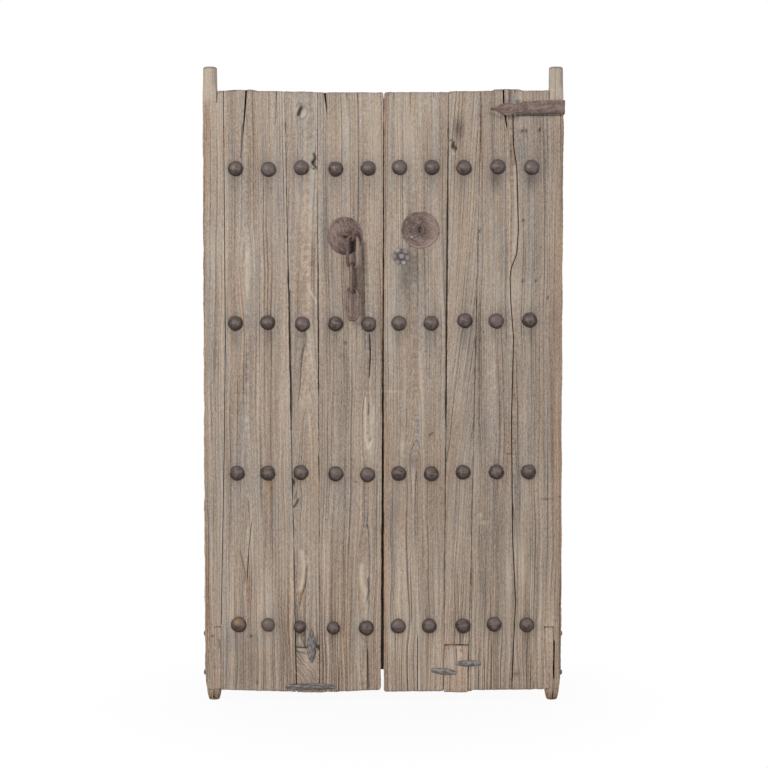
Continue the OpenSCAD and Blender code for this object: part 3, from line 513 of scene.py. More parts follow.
# pivot cut from the board: a profile turned about its upright axis, worn, its section a superellipse
def pivotSkin(s, profile, seed, tintAt, lean=0.0, square=None):
    atX = s * door["pivot"]
    r, z = (np.array(v, float) for v in zip(*profile))
    t = np.linspace(0, len(r) - 1, 60)
    r, z = np.interp(t, np.arange(len(r)), r), np.interp(t, np.arange(len(z)), z)
    turn = np.linspace(0, 2 * np.pi, 72, endpoint=False)
    uneven = 0.5 * ripple(np.cos(turn) * 1.2, np.sin(turn) * 1.2, seed) + 0.25 * ripple(turn * 4, 0.2, seed + 1)
    size = r[:, None] + np.minimum(uneven, 0.3)[None] * np.clip(r[:, None] / 8, 0, 1) - 0.5
    if square:  # squarish where it leaves the board, round above
        n = 2 + 14 * smooth((square[1] - z) / (square[1] - square[0]))[:, None]
        size = size * (np.abs(np.cos(turn)) ** n + np.abs(np.sin(turn)) ** n) ** (-1 / n)
    x, y = size * np.cos(turn), size * np.sin(turn) * (1.07 if square else 1.0)
    zz = np.broadcast_to(z[:, None], x.shape)
    fields = {"ring": 0.9 * (atX + x) + 0.6 * y, "seed": float(seed), "along": zz / 1000, "tone": 0.0,
              "blue": 0.0, **tintAt(s, x, y, zz)}
    return skinOf(np.stack([atX + x + lean, y, zz], -1), fields)


stepRows = [238, 725, 1203, 1687]  # heights of the battens and the stud rows
# joint lines, each at the foot and at the head
leftMeet, rightMeet = (7.0, -1.0), (2.0, 4.0)
leftInner, rightInner = (201.0, 206.0), (193.0, 206.0)
leftOuter, rightOuter = (275.0, 308.0), (271.0, 308.0)
edgeLine = (door["edge"], door["edge"])
grooveSteps = [zc + way * off for zc in stepRows for way in (-1, 1) for off in groove["rows"]]


# rise of an end between its two corners, with rounded corners where asked
def endRise(lineNear, lineFar, z, riseNear, riseFar, roundNear=0.0, roundFar=0.0, down=1):
    a, c = lineAt(lineNear, z), lineAt(lineFar, z)

    def rise(d):
        out = riseNear + (riseFar - riseNear) * np.clip((d - a) / (c - a), 0, 1)
        for r, gap in ((roundNear, d - a), (roundFar, c - d)):
            if r:
                g = np.clip(r - gap, 0, r)
                out = out + down * (r - np.sqrt(np.maximum(r * r - g * g, 0)))
        return out
    return rise


# half widths of the joints over the height, where two boards share one
meetGap = [(33, 0.3), (700, 0.2), (1150, -0.5), (1923, -0.6)]
leftJoint = [(33, 1.0), (170, 0.9), (265, 0.35), (640, 0.3), (760, 0.8), (950, 0.9), (1080, 1.6), (1290, 1.8),
             (1400, 0.9), (1600, 0.4), (1923, 0.2)]
rightJoint = [(33, 0.7), (300, 0.5), (1316, 0.5), (1500, 0.4), (1923, 0.3)]
boards = {}
boards["left_outer_board"] = dict(
    side=-1, low=33.0, high=1923.0, near=leftOuter, far=edgeLine, nearLap=True, farLap=False,
    nearGap=[(33, 1.6), (304, 0.9), (857, 0.8), (867, 2.0), (1346, 2.0), (1406, 1.0), (1923, 0.2)],
    farGap=[(33, 6.5), (60, 3.5), (110, 1.0), (160, 0.3), (1923, 0.3)], farWob=0.7,
    lowRise=endRise(leftOuter, edgeLine, 33, -6, 2, 0, 16), stile=519.9,
    highRise=endRise(leftOuter, edgeLine, 1923, 3, 5, 0, 5, -1), wearF=1.3, crest=[(402, 465, 4.0)],
    steps=[234.5, 236.3, 236.9, 239],
    cracks=[crackAlong([(1930, 334), (1850, 336), (1783, 343)], 1.8, 4.0, 0, 110),
            crackAlong([(600, 412), (500, 424), (430, 428), (372, 431)], 2.2, 4.0, 60, 30),
            crackAlong([(1935, 428), (1894, 431), (1815, 437), (1736, 444)], 6.0, 11.0, 0, 150),
            crackAlong([(1935, 500), (1627, 499), (1155, 497), (800, 502), (378, 511), (238, 513.5)], 2.2, 6.0,
                       0, 12)],
    recess=dict(near=[(0, 514.3), (300, 514.4)], far=[(0, 535.2), (300, 534.9)], top=236.4, deep=20.0),
    tone=0.0, backTone=0.04,
    grain=dict(seed=11, knots=[(-470, 1157, 30, 0.3)], heart=[
        (33, -428, 3), (425, -428, 3), (656, -430, 13), (907, -431, 22), (1227, -430, 22), (1366, -428, 13),
        (1505, -430, 22), (1924, -432, 24)]),
    edge=dict(far=0.25),
    marks=dict(
        dark=[([(-440, 1822), (-443, 1790), (-445, 1750), (-447, 1716)], 1.7, 0.85), (-445, 105, 75, 80, 0.24),
              (-470, 180, 30, 30, 0.2), (-535, 1080, 18, 60, 0.13), (-418, 206, 5, 5, 0.8),
              (-400, 59, 4, 6, 0.7), (-300, 1901, 3, 20, 0.3),
              ([(-452, 475), (-436, 405), (-440, 376)], 2.2, 0.6), ([(-545, 207), (-510, 204)], 1.8, 0.6)],
        warm=[(-434, 392, 5, 40, 0.6), (-425, 334, 4, 60, 0.45), (-500, 1773, 8, 60, 0.5),
              (-562, 505, 8, 600, 0.3), (-360, 947, 40, 200, 0.15), (-357, 666, 20, 30, 0.35),
              (-460, 947, 30, 300, 0.12), (-562, 1703, 7, 260, 0.35)],
        blue=[(-488, 202, 16, 30, 0.55), (-400, 192, 30, 20, 0.35), (-470, 787, 30, 160, 0.22),
              (-330, 1604, 20, 160, 0.3), (-445, 696, 60, 50, 0.22), (-500, 121, 10, 60, 0.4)],
        cream=[(-535, 1430, 18, 70, 0.2), (-428, 1376, 6, 90, 0.55), (-430, 1306, 14, 120, 0.22),
               (-520, 425, 12, 240, 0.2), (-420, 525, 8, 80, 0.3)]),
    hollows=[(-434, 389, 5, 45, 1.6), (-428, 1366, 8, 100, -0.5)])
boards["left_middle_board"] = dict(
    side=-1, low=170.0, high=1923.0, near=leftInner, far=leftOuter, nearLap=True, farLap=True,
    nearGap=leftJoint,
    farGap=[(170, 1.6), (304, 0.9), (857, 0.8), (867, 2.0), (1346, 2.0), (1406, 1.0), (1923, 0.2)],
    lowRise=endRise(leftInner, leftOuter, 170, 0, 0),
    highRise=endRise(leftInner, leftOuter, 1923, 1, 3, 0, 0, -1),
    tone=-0.01, backTone=-0.08,
    grain=dict(seed=23, heart=[
        (170, -236, 9), (505, -238, 8), (696, -241, 6), (887, -241, 15), (1007, -241, 30), (1207, -239, 40),
        (1924, -232, 40)],
               knots=[(-261, 1864, 18, 0.6), (-264, 646, 22, 0.6), (-258, 353, 22, 0.7),
                      (-218, 1698, 10, 0.5)]),
    marks=dict(
        dark=[(-276, 1070, 14, 110, 0.05), ([(-251, 213), (-259, 200), (-249, 177), (-247, 168)], 2.0, 0.75),
              (-207, 196, 3, 14, 0.6), (-203, 174, 6, 5, 0.9), ([(-275, 214), (-252, 214)], 1.8, 0.5),
              ([(-256, 1875), (-261, 1865), (-266, 1853)], 6.6, 0.97),
              ([(-272, 1880), (-262, 1888), (-246, 1882), (-237, 1866), (-240, 1848), (-252, 1838),
                (-264, 1840)], 2.0, 0.4), (-219, 1704, 6, 9, 0.9),
              ([(-217, 1731), (-213, 1714), (-223, 1704), (-214, 1692), (-206, 1685)], 4.2, 0.97),
              ([(-226, 1688), (-215, 1682)], 2.6, 0.9), (-282, 697, 5, 14, 0.97),
              ([(-268, 641), (-274, 630), (-281, 618)], 3.5, 0.9), ([(-274, 664), (-280, 645)], 2.2, 0.6),
              ([(-294.5, 1300), (-292.6, 1180), (-289.6, 1000), (-288.2, 920)], 2.6, 0.95),
              ([(-243, 425), (-245, 375), (-258, 335), (-264, 308)], 2.8, 0.65), (-216, 174, 14, 5, 0.8)],
        cream=[(-224, 1690, 10, 130, 0.3), (-222, 1520, 9, 60, 0.25), (-264, 192, 7, 16, 0.45),
               (-250, 1857, 8, 14, 0.6), (-272, 1866, 5, 14, 0.45), (-218, 1684, 6, 14, 0.6),
               ([(-237, 1313), (-209, 1266)], 2.6, 0.7),
               ([(-258, 475), (-251, 430), (-252, 395), (-263, 355)], 6.0, 0.6), (-246, 947, 18, 26, 0.25)],
        warm=[(-262, 349, 10, 25, 0.5), (-240, 887, 26, 140, 0.22), (-258, 707, 8, 12, 0.4),
              (-222, 202, 6, 14, 0.35)],
        blue=[(-268, 1505, 10, 200, 0.3), (-275, 192, 8, 26, 0.5)]),
    hollows=[(-261, 1864, 6, 10, 4.0), (-218, 1705, 5, 8, 3.0), (-281, 697, 5, 10, 4.0)])
boards["left_inner_board"] = dict(
    side=-1, low=33.0, high=1923.0, near=leftMeet, far=leftInner, nearLap=False, farLap=True,
    nearGap=meetGap, wearN=0.5, farGap=leftJoint,
    lowRise=endRise(leftMeet, leftInner, 33, 0, -8, 9),
    highRise=endRise(leftMeet, leftInner, 1923, 0, 0, 6, 0, -1),
    steps=grooveSteps, grooves=stepRows,
    cracks=[crackAlong([(1168, 42), (1100, 40), (1025, 43)], 4.0, 8.0, 30, 60),
            crackAlong([(190, 49), (120, 50), (25, 51)], 2.4, 5.0, 50, 1),
            crackAlong([(1932, 113), (1880, 114)], 1.6, 3.0, 0, 40),
            crackAlong([(172, 139), (25, 140)], 1.6, 3.0, 60, 1),
            crackAlong([(1935, 184), (1890, 179), (1846, 175), (1743, 166), (1604, 160)], 7.0, 9.0, 0, 75, 1.0,
                       (1838, 1940))],
    tone=-0.03,
    grain=dict(seed=37, heart=[
        (33, -60, 16), (253, -58, 12), (334, -58, 3), (425, -57, 4), (566, -54, 16), (767, -48, 16),
        (827, -46, 8), (907, -46, 8), (977, -46, 16), (1924, -58, 18)],
               knots=[(-45, 829, 14, 0.5), (-119, 1306, 40, 0.2)]),
    edge=dict(near=0.3),
    marks=dict(
        dark=[([(-42, 1165), (-40, 1100), (-43, 1028)], 2.2, 0.9),
              # painted shadow of the chain: a stroke to its right and a broad faint one on the board behind it
              ([(-66, 1440), (-64, 1330), (-68, 1225)], 9.0, 0.34), ([(-90, 1440), (-90, 1230)], 16.0, 0.14),
              (-119, 1137, 6, 5, 0.7), (-86, 698, 6, 3, 0.7), ([(-45, 947), (-45, 912)], 2.0, 0.85),
              (-41, 831, 3, 5, 0.8), (-130, 1097, 14, 14, 0.25),
              ([(-48, 388), (-46, 350), (-50, 322)], 2.8, 0.75), ([(-48, 152), (-46, 40)], 2.2, 0.7),
              ([(-168, 202), (-170, 61)], 1.6, 0.4)],
        cream=[(-100, 1790, 100, 100, 0.13), (-34, 1760, 14, 120, 0.2), (-32, 870, 10, 120, 0.22),
               (-34, 235, 16, 50, 0.2), ([(-56, 967), (-56, 837), (-46, 801), (-36, 829)], 3.0, 0.7),
               ([(-30, 937), (-30, 887)], 3.0, 0.5), (-46, 819, 8, 22, 0.4),
               ([(-68, 430), (-70, 390), (-60, 355), (-52, 330)], 8.0, 0.55), (-52, 253, 8, 40, 0.25)],
        warm=[(-162, 1140, 6, 5, 0.7), (-97, 771, 18, 4, 0.6), (-10, 771, 6, 5, 0.6), (-60, 707, 60, 60, 0.12),
              (-8, 1306, 4, 420, 0.35), (-100, 405, 50, 120, 0.12)],
        blue=[(-188, 1492, 7, 100, 0.55), (-172, 1492, 4, 80, 0.3), (-190, 737, 6, 200, 0.25),
              (-122, 656, 16, 50, 0.3)]),
    hollows=[(-45, 922, 3, 16, 1.5), (-46, 827, 9, 20, -0.6)])
boards["right_inner_board"] = dict(
    side=1, low=33.0, high=1923.0, near=rightMeet, far=rightInner, nearLap=False, farLap=True,
    nearGap=meetGap, wearN=0.5,
    farGap=[(33, 0.6), (867, 0.8), (907, 2.0), (1644, 2.0), (1763, 0.9), (1923, 0.4)],
    lowRise=endRise(rightMeet, rightInner, 33, -6, -4, 9),
    highRise=endRise(rightMeet, rightInner, 1923, 0, 1, 6, 0, -1),
    steps=grooveSteps, grooves=stepRows,
    cracks=[crackAlong([(1931, 34), (1890, 35)], 1.6, 3.0, 0, 30),
            crackAlong([(205, 77), (25, 78)], 1.6, 3.0, 60, 1),
            crackAlong([(435, 88), (330, 89), (212, 92)], 1.8, 3.0, 60, 60),
            crackAlong([(225, 110), (121, 110), (25, 109)], 2.6, 6.0, 40, 1),
            crackAlong([(1931, 158), (1893, 158)], 1.8, 3.0, 0, 30)],
    tone=-0.03,
    grain=dict(seed=41, heart=[
        (33, 108, 3), (696, 104, 3), (767, 104, 6), (837, 104, 16), (1007, 104, 22), (1924, 100, 22)],
               knots=[(98, 767, 20, 0.5), (60, 304, 24, 0.3)]),
    edge=dict(near=0.35),
    marks=dict(
        dark=[(98, 764, 16, 26, 0.45), ([(202, 1570), (200, 1300), (198, 1010), (197, 900)], 3.2, 0.95),
              ([(144, 843), (160, 855)], 2.6, 0.7), (66, 1336, 14, 60, 0.42), (100, 1395, 15, 70, 0.26),
              (190, 1440, 6, 60, 0.2), (85, 1390, 26, 50, 0.22), ([(140, 238), (134, 293)], 2.0, 0.5),
              (45, 606, 26, 70, 0.18)],
        cream=[(105, 180, 100, 220, 0.13), (88, 1790, 22, 110, 0.32), (70, 235, 70, 40, 0.15),
               (30, 985, 26, 2.6, 0.45), (60, 812, 8, 26, 0.35), (24, 202, 8, 50, 0.4),
               (20, 1187, 30, 160, 0.15)],
        warm=[(10, 425, 7, 160, 0.4), (12, 767, 8, 80, 0.3), (80, 566, 60, 90, 0.14), (48, 197, 6, 20, 0.35),
              (145, 192, 8, 14, 0.4), (8, 273, 6, 20, 0.5)],
        blue=[(85, 1330, 45, 110, 0.4), (30, 566, 10, 120, 0.3), (110, 546, 20, 60, 0.25),
              (120, 877, 20, 120, 0.2)]),
    hollows=[(152, 849, 8, 4, 1.2)])
boards["right_middle_board"] = dict(
    side=1, low=178.0, high=1923.0, near=rightInner, far=rightOuter, nearLap=True, farLap=True,
    nearGap=[(178, 0.6), (867, 0.8), (907, 2.0), (1644, 2.0), (1763, 0.9), (1923, 0.4)],
    farGap=rightJoint,
    lowRise=endRise(rightInner, rightOuter, 178, 0, 0),
    highRise=endRise(rightInner, rightOuter, 1923, 3, 4, 0, 0, -1),
    cracks=[crackAlong([(425, 237), (300, 238), (186, 241)], 1.7, 3.0, 80, 60)],
    tone=-0.035, backTone=-0.07,
    grain=dict(seed=53, heart=[(178, 520, 0), (707, 540, 0), (1207, 606, 0), (1924, 650, 0)],
               knots=[(224, 1755, 10, 0.5), (196, 823, 8, 0.5)]),
    marks=dict(
        dark=[(222, 1752, 7, 10, 0.95), (238, 1810, 17, 34, 0.6),
              ([(212, 1774), (224, 1766), (217, 1756), (231, 1748), (226, 1738)], 2.6, 0.9),
              (196, 827, 4, 6, 0.5), (232, 174, 20, 4, 0.6)],
        cream=[(255, 1460, 60, 210, 0.13), (222, 1739, 8, 8, 0.5), (198, 813, 4, 12, 0.5),
               (250, 707, 20, 260, 0.12)],
        warm=[(202, 829, 5, 8, 0.5), (250, 1505, 24, 300, 0.2), (205, 182, 8, 10, 0.5)],
        blue=[(262, 907, 10, 200, 0.2)]),
    hollows=[(222, 1752, 6, 7, 2.6), (241, 1811, 20, 26, 0.8)])
# the long crack of the right outer board, from its head down
longPath = [(1868, 406), (1848, 408), (1762, 409), (1690, 420), (1608, 423), (1492, 426), (1417, 421),
            (1373, 404), (1341, 400), (1263, 403), (1150, 412), (893, 406), (512, 411), (322, 421), (33, 409)]
boards["right_outer_board"] = dict(
    side=1, low=33.0, high=1923.0, near=rightOuter, far=edgeLine, nearLap=True, farLap=False,
    nearGap=rightJoint,
    farGap=[(33, 8.0), (60, 4.0), (110, 1.0), (160, 0.3), (1923, 0.3)], farWob=0.8,
    lowRise=endRise(rightOuter, edgeLine, 33, -1, 3, 0, 16), stile=519.9,
    highRise=endRise(rightOuter, edgeLine, 1923, 4, 6, 0, 5, -1), wearF=1.3, crest=[(345, 430, 5.0)],
    steps=[234.5, 236.3, 236.9, 239],
    cracks=[crackAlong([(33, 303), (200, 307), (1923, 334)], 1.6, 3.0, 70, 1, 0.9, (20, 205)),
            crackAlong([(33, 322), (200, 324), (1923, 346)], 2.0, 3.0, 60, 1, 0.9, (20, 170)),
            crackAlong([(33, 343), (200, 346), (1923, 358)], 1.8, 3.0, 90, 1, 0.9, (20, 250)),
            crackAlong([(1937, 377), (1884, 379), (1835, 386), (1793, 391)], 6.0, 11.0, 0, 45),
            crackAlong(longPath, 3.4, 6.0, 12, 40),
            crackAlong([(1937, 414), (1900, 414)] + [(h, at + 8) for h, at in longPath], 5.0, 8.0, 0, 24, 1.0,
                       (1904, 1940)),
            crackAlong([(185, 472), (25, 468)], 1.8, 3.0, 70, 1)],
    recess=dict(near=[(0, 510.4), (300, 510.6)],
                far=[(0, 542.5), (55, 542.4), (75, 544.6), (120, 545.2), (182, 545.8), (190, 545.0),
                     (196, 542.0), (300, 541.8)], top=236.4, deep=20.0),
    tone=-0.06,
    grain=dict(seed=67, heart=[
        (33, 408, 3), (485, 409, 3), (566, 410, 8), (807, 411, 21), (1207, 408, 24), (1406, 412, 20),
        (1924, 405, 24)],
               knots=[(470, 525, 40, 0.25), (340, 907, 40, 0.2)]),
    edge=dict(far=0.5),
    marks=dict(
        dark=[(352, 1652, 18, 36, 0.4), (464, 1656, 18, 34, 0.4), (318, 360, 22, 110, 0.25),
              # after a broad spot: painted shade under the spear, then a painted shadow line along the strap's
              # lower edge
              (450, 1050, 80, 80, 0.13), ([(376, 1856), (402, 1846), (424, 1852)], 8.0, 0.6),
              ([(420, 1852), (480, 1851), (564, 1853)], 3.2, 0.95), ([(338, 1856), (372, 1842)], 6.0, 0.35),
              (437, 1802, 4.5, 6, 0.97), (449, 1802, 4, 5, 0.9), (492, 1806, 4.5, 6, 0.97),
              (440, 1332, 4, 5, 0.85), (481, 1333, 4, 5, 0.85), (519, 1280, 4, 5, 0.85),
              (441, 1522, 4, 5, 0.85), (304, 1489, 4, 5, 0.85), ([(392, 786), (418, 784)], 2.6, 0.6),
              ([(505, 642), (566, 649)], 1.8, 0.55), (423, 1890, 7, 4, 0.9), (424, 85, 12, 5, 0.5),
              ([(480, 61), (478, 36)], 2, 0.6), (372, 1505, 10, 240, 0.15)],
        cream=[(430, 250, 130, 210, 0.11), (430, 1460, 120, 200, 0.07), (400, 1300, 80, 60, 0.2),
               ([(414, 1693), (417, 1505), (414, 1426)], 3.0, 0.55), (316, 568, 16, 3.5, 0.6),
               (440, 435, 12, 70, 0.35), (399, 400, 9, 80, 0.35), (469, 380, 6, 70, 0.3),
               (418, 475, 6, 60, 0.4), (308, 591, 5, 10, 0.5)],
        warm=[(548, 1007, 16, 900, 0.3), (560, 1505, 8, 300, 0.4), (486, 207, 12, 10, 0.4),
              (498, 293, 6, 10, 0.45), (530, 797, 12, 12, 0.3), (305, 1007, 5, 10, 0.4),
              (470, 121, 12, 40, 0.2)],
        blue=[(468, 1539, 12, 140, 0.45), (415, 1881, 12, 40, 0.5), (438, 1748, 18, 46, 0.5),
              (400, 1893, 14, 20, 0.4), (470, 1850, 50, 16, 0.3), (320, 867, 20, 60, 0.25),
              (420, 707, 14, 80, 0.25)]),
    hollows=[(441, 1522, 4, 6, 1.5), (452, 1802, 9, 5, 0.6)])
boards["left_patch"] = dict(
    side=-1, low=33.0, high=168.0, near=leftInner, far=leftOuter, nearLap=True, farLap=True, pace=3.0,
    nearGap=[(33, 1.2), (168, 1.2)], farGap=[(33, 1.8), (168, 1.8)],
    lowRise=endRise(leftInner, leftOuter, 33, -9, -7),
    highRise=endRise(leftInner, leftOuter, 168, 0, 0), grain=dict(seed=71, lean=760, wave=2.2), tone=-0.08,
    marks=dict(
        dark=[([(-275, 158), (-262, 155), (-249, 151)], 1.8, 0.7), (-243, 168, 10, 4, 0.5),
              (-204, 165, 7, 5, 0.9)],
        cream=[(-238, 118, 16, 34, 0.35), (-262, 162, 9, 5, 0.4)],
        warm=[(-214, 130, 6, 8, 0.4), (-232, 45, 30, 10, 0.2)],
        blue=[(-266, 150, 9, 16, 0.4), (-230, 80, 20, 30, 0.25)]))
boards["right_patch"] = dict(
    side=1, low=33.0, high=176.0, near=rightInner, far=rightOuter, nearLap=True, farLap=True, pace=3.0,
    nearGap=[(33, 0.9), (176, 0.9)], farGap=[(33, 2.0), (176, 2.0)],
    lowRise=endRise(rightInner, rightOuter, 33, -7, -8),
    highRise=endRise(rightInner, rightOuter, 176, 0, 0), crest=[(204, 229, 1.8)],
    cracks=[crackAlong([(174, 233), (142, 234), (119, 235)], 1.6, 2.5, 6, 20, 0.8)],
    grain=dict(seed=83, knots=[(247, 157, 10, 0.7)]),
    marks=dict(
        dark=[(247, 160, 4, 5, 0.5), ([(214, 81), (212, 34)], 1.8, 0.45)],
        cream=[(246, 148, 7, 12, 0.3), (215, 132, 12, 30, 0.3)],
        warm=[(206, 170, 9, 6, 0.5), (190, 71, 8, 14, 0.4), (240, 61, 20, 30, 0.2)], blue=[]))
boards["left_splice"] = dict(
    side=-1, low=37.0, high=236.0, near=(515.0, 515.0), far=(534.5, 534.5), nearLap=False, farLap=False,
    pace=3.0, thin=19.0, wearN=0.3, wearF=0.25,
    nearGap=[(37, 0.2), (236, 0.2)], farGap=[(37, 0.2), (236, 0.2)],
    lowRise=endRise((515, 515), (534.5, 534.5), 37, 0, 0),
    highRise=endRise((515, 515), (534.5, 534.5), 236, 0, 0, 3, 3, -1), grain=dict(seed=91),
    marks=dict(dark=[(-519, 180, 4, 12, 0.5), (-522, 192, 2, 20, 0.4)], cream=[], warm=[(-520, 91, 5, 60, 0.2)],
               blue=[(-518, 152, 5, 30, 0.35)]))
boards["right_splice"] = dict(
    side=1, low=37.0, high=236.0, near=(511.0, 511.0), far=(539.5, 559.0), nearLap=False, farLap=False,
    pace=3.0, thin=19.0, wearN=0.15, wearF=0.6, tone=-0.05,
    nearGap=[(37, 0.2), (236, 0.2)], farGap=[(37, 0.0), (176, 0.0), (236, 0.6)],
    lowRise=endRise((511, 511), (539, 539), 37, 0, 0),
    highRise=endRise((511, 511), (541, 541), 236, 0, 0, 3, 3, -1), grain=dict(seed=97),
    marks=dict(dark=[([(512, 234), (534, 233)], 2, 0.5)], cream=[(532, 192, 7, 6, 0.5)],
               warm=[(530, 186, 9, 8, 0.7)], blue=[]))

# the studs stand on an even grid, each with a small shift in X and Z
studShift = {
    "left": [[(5, -6), (6, -6), (9, -2), (6, 4), (-4, 5)], [(1, -5), (-2, -2), (5, 2), (6, 0), (-1, 0)],
             [(-3, -7), (-2, -6), (-1, -7), (5, -2), (3, -4)], [(-2, -2), (-3, -4), (1, 0), (1, -5), (1, -3)]],
    "right": [[(0, 0), (-5, 1), (-1, 1), (-6, 6), (-6, 4)], [(2, -1), (1, -2), (-2, 3), (0, 4), (-2, 4)],
              [(2, -4), (0, -4), (3, 4), (-2, 3), (0, 6)], [(4, 1), (2, 1), (-1, 0), (2, 3), (5, 1)]]}
studGrid = dict(first=48, pitch=103.5)
studPlaces = {
    leaf: [(sign * (studGrid["first"] + studGrid["pitch"] * i + dx), stepRows[row] + dz)
           for row in range(4) for i, (dx, dz) in enumerate(studShift[leaf][row])]
    for leaf, sign in (("left", -1), ("right", 1))}
# smears that water has drawn under the studs, dirt and rust round their feet, from the lowest row up
studStain = dict(smear=(0.03, 0.05, 0.22, 0.14), halo=(0.22, 0.12, 0.16, 0.22), rust=(0.6, 0.7, 0.2, 0.1),
                 cool=(0.3, 0.15, 0.3, 0.3))
studBoard = ["inner", "inner", "middle", "outer", "outer"]
for leaf, places in studPlaces.items():
    for n, (sx, sz) in enumerate(places):
        marks = boards[f"{leaf}_{studBoard[n % 5]}_board"]["marks"]
        smear, halo, rust, cool = (studStain[k][n // 5] for k in ("smear", "halo", "rust", "cool"))
        marks["dark"] += [(sx + 2, sz - 46, 15, 36, smear), (sx, sz - 2, 29, 29, halo)]
        marks["warm"].append((sx, sz - 25, 15, 8, rust))
        marks["blue"].append((sx, sz - 10, 32, 44, cool))

pivot = dict(
    head=[(21.6, 1866), (22.6, 1890), (22.7, 1915), (22.8, 1950), (22.6, 1985), (22.4, 1998), (21.0, 2001.6),
          (17, 2003.8), (0.4, 2004.4)],
    foot=[(0.4, 0.3), (14.6, 0.3), (16.8, 1.8), (18.6, 7), (20.6, 15), (22.6, 25), (24.0, 40), (24.0, 70),
          (0.4, 70)],
    headLean=1.4, footLean=-4.5, square=(1895, 1950))


# worn foot of a pivot: end grain warm and blotched with dirt at the tip, and one upright check
def footTint(s, x, y, z):
    blotch = smooth(0.5 + 0.8 * ripple(x / 6, y / 6 + z / 8, 115 + s))
    check = 0.9 * np.exp(-((x - s * 1 - z * 0.05) / 2.0) ** 2) * np.clip(1.9 - z / 36, 0, 1)
    return {"warm": np.clip(1.25 - z / 32, 0, 0.9) * (0.65 + 0.35 * ripple(x / 7, y / 7 + z / 9, 119 + s)),
            "cream": 0.0 * x, "dark": np.clip(0.85 - z / 36, 0, 1) * blotch + check}


# head of a pivot: warm on its outer side, paler above the boards, dirty round its top edge
def headTint(s, x, y, z):
    return {"warm": np.clip((s * x - 12) / 10, 0, 1) * (0.55 if s < 0 else 0.25),
            "cream": 0.30 * smooth((z - 1880) / 40), "dark": 0.35 * np.exp(-((z - 2000) / 3.0) ** 2)}


for name, b in boards.items():
    leaf, s = name.split("_")[0], b["side"]
    skins = [boardSkin(b)]
    if "thin" in b:  # the splices stop at their own depth
        points = skins[0]["points"]
        points[:, 1] = np.minimum(points[:, 1], door["face"] + b["thin"])
    if name.endswith("outer_board"):
        skins += [pivotSkin(s, pivot["head"], 101 + s, headTint, s * pivot["headLean"], pivot["square"]),
                  pivotSkin(s, pivot["foot"], 111 + s, footTint, s * pivot["footLean"])]
    small = name.endswith(("patch", "splice"))
    finish, slot = (patchWood, "patch_wood") if small else (weatheredWood, "weathered_wood")
    makePiece(name.replace("_", "") + ".wood", skins, finish, leaf + "_leaf", [name], 50)
print("boards ready")


# bar hewn by hand: a closed section carried along a straight way, with shallow tool marks
def hewnSkin(section, stations, axis, seed, wave=0.5):
    ring = []
    for (a, b), (c, d) in zip(section, section[1:] + section[:1]):  # each side is split in short steps
        n = max(2, int(math.hypot(c - a, d - b) / 5))
        t = np.arange(n) / n
        ring.append(np.stack([a + (c - a) * t, b + (d - b) * t], -1))
    ring = np.concatenate(ring)
    along = np.asarray(stations)[:, None]
    mid = ring.mean(0)
    out = ring - mid
    turn = np.arctan2(out[:, 1], out[:, 0])[None]
    tip = np.minimum(along - along.min(), along.max() - along)
    dent = wave * ripple(along / 38, turn * 0.9, seed) + 0.4 * wave * ripple(along / 11, turn * 2.2, seed + 1)
    lost = np.clip(dent + 0.4 + 1.4 * np.clip(1 - tip / 3, 0, 1), 0, 4)
    shrink = 1 - lost / np.linalg.norm(out, axis=1)[None]
    p = mid + out[None] * shrink[..., None]
    run = np.broadcast_to(along, p.shape[:2])
    fields = {"seed": float(seed), "along": run / 1000, "dark": 0.35 * np.exp(-tip / 2.0)}
    if axis == "x":
        fields["ring"] = 1.3 * p[..., 1] + 0.8 * p[..., 0] + 2.5 * ripple(run / 120, p[..., 1] / 60, seed + 2)
        loops = np.stack([run, p[..., 0], p[..., 1]], -1)
    else:
        fields["ring"] = 1.3 * p[..., 0] + 0.8 * p[..., 1] + 2.5 * ripple(run / 120, p[..., 0] / 60, seed + 2)
        loops = np.stack([p[..., 0], p[..., 1], run], -1)
    return skinOf(loops, fields)


batten = dict(half=29.0, flare=4.0, floor=12.2, top=48.0, chamfer=5.0, key=13.0, start=32.0, stop=526.0)
for leaf, sign in (("left", -1), ("right", 1)):
    for row, zc in enumerate(stepRows):
        seed, back = 131 + 7 * row + sign, door["back"]
        w, c, top, start, stop = (batten[k] for k in ("half", "chamfer", "top", "start", "stop"))
        body = [(back - 1, zc + w), (top - c, zc + w), (top, zc + w - c), (top, zc - w + c), (top - c, zc - w),
                (back - 1, zc - w)]
        key = [(batten["floor"], zc + w + batten["flare"]), (back, zc + w), (back, zc - w),
               (batten["floor"], zc - w - batten["flare"])]
        bodyAt = np.unique(np.r_[np.linspace(start, stop, 90), start + 1, start + 2.5, stop - 1, stop - 2.5])
        keyAt = np.linspace(batten["key"], start + 8, 12)
        skins = [hewnSkin(body, sign * bodyAt, "x", seed), hewnSkin(key, sign * keyAt, "x", seed + 3, 0.1)]
        makePiece(f"{leaf}Batten{row + 1}", skins, backWood, leaf + "_leaf", [f"{leaf}_batten_{row + 1}"],
                  32)
# the meeting strip is cut back a little where it laps behind the left leaf
strip = dict(low=90, high=1909, seed=171, nails=[150, 481.5, 964, 1445, 1849], nailX=15, top=41.6,
             section=[(-20, 24.5), (3.8, 24.5), (4.0, 24.0), (26, 24), (26, 38), (22, 42), (-16, 42),
                      (-20, 38)])
low, high = strip["low"], strip["high"]
stripAt = np.unique(np.r_[np.linspace(low, high, 260), low + 1, low + 2.5, high - 2.5, high - 1])
stripSkin = hewnSkin(strip["section"], stripAt, "z", strip["seed"], 0.35)
makePiece("meetingStrip", [stripSkin], backWood, "right_leaf", ["meeting_strip"], 32)
print("back ready")


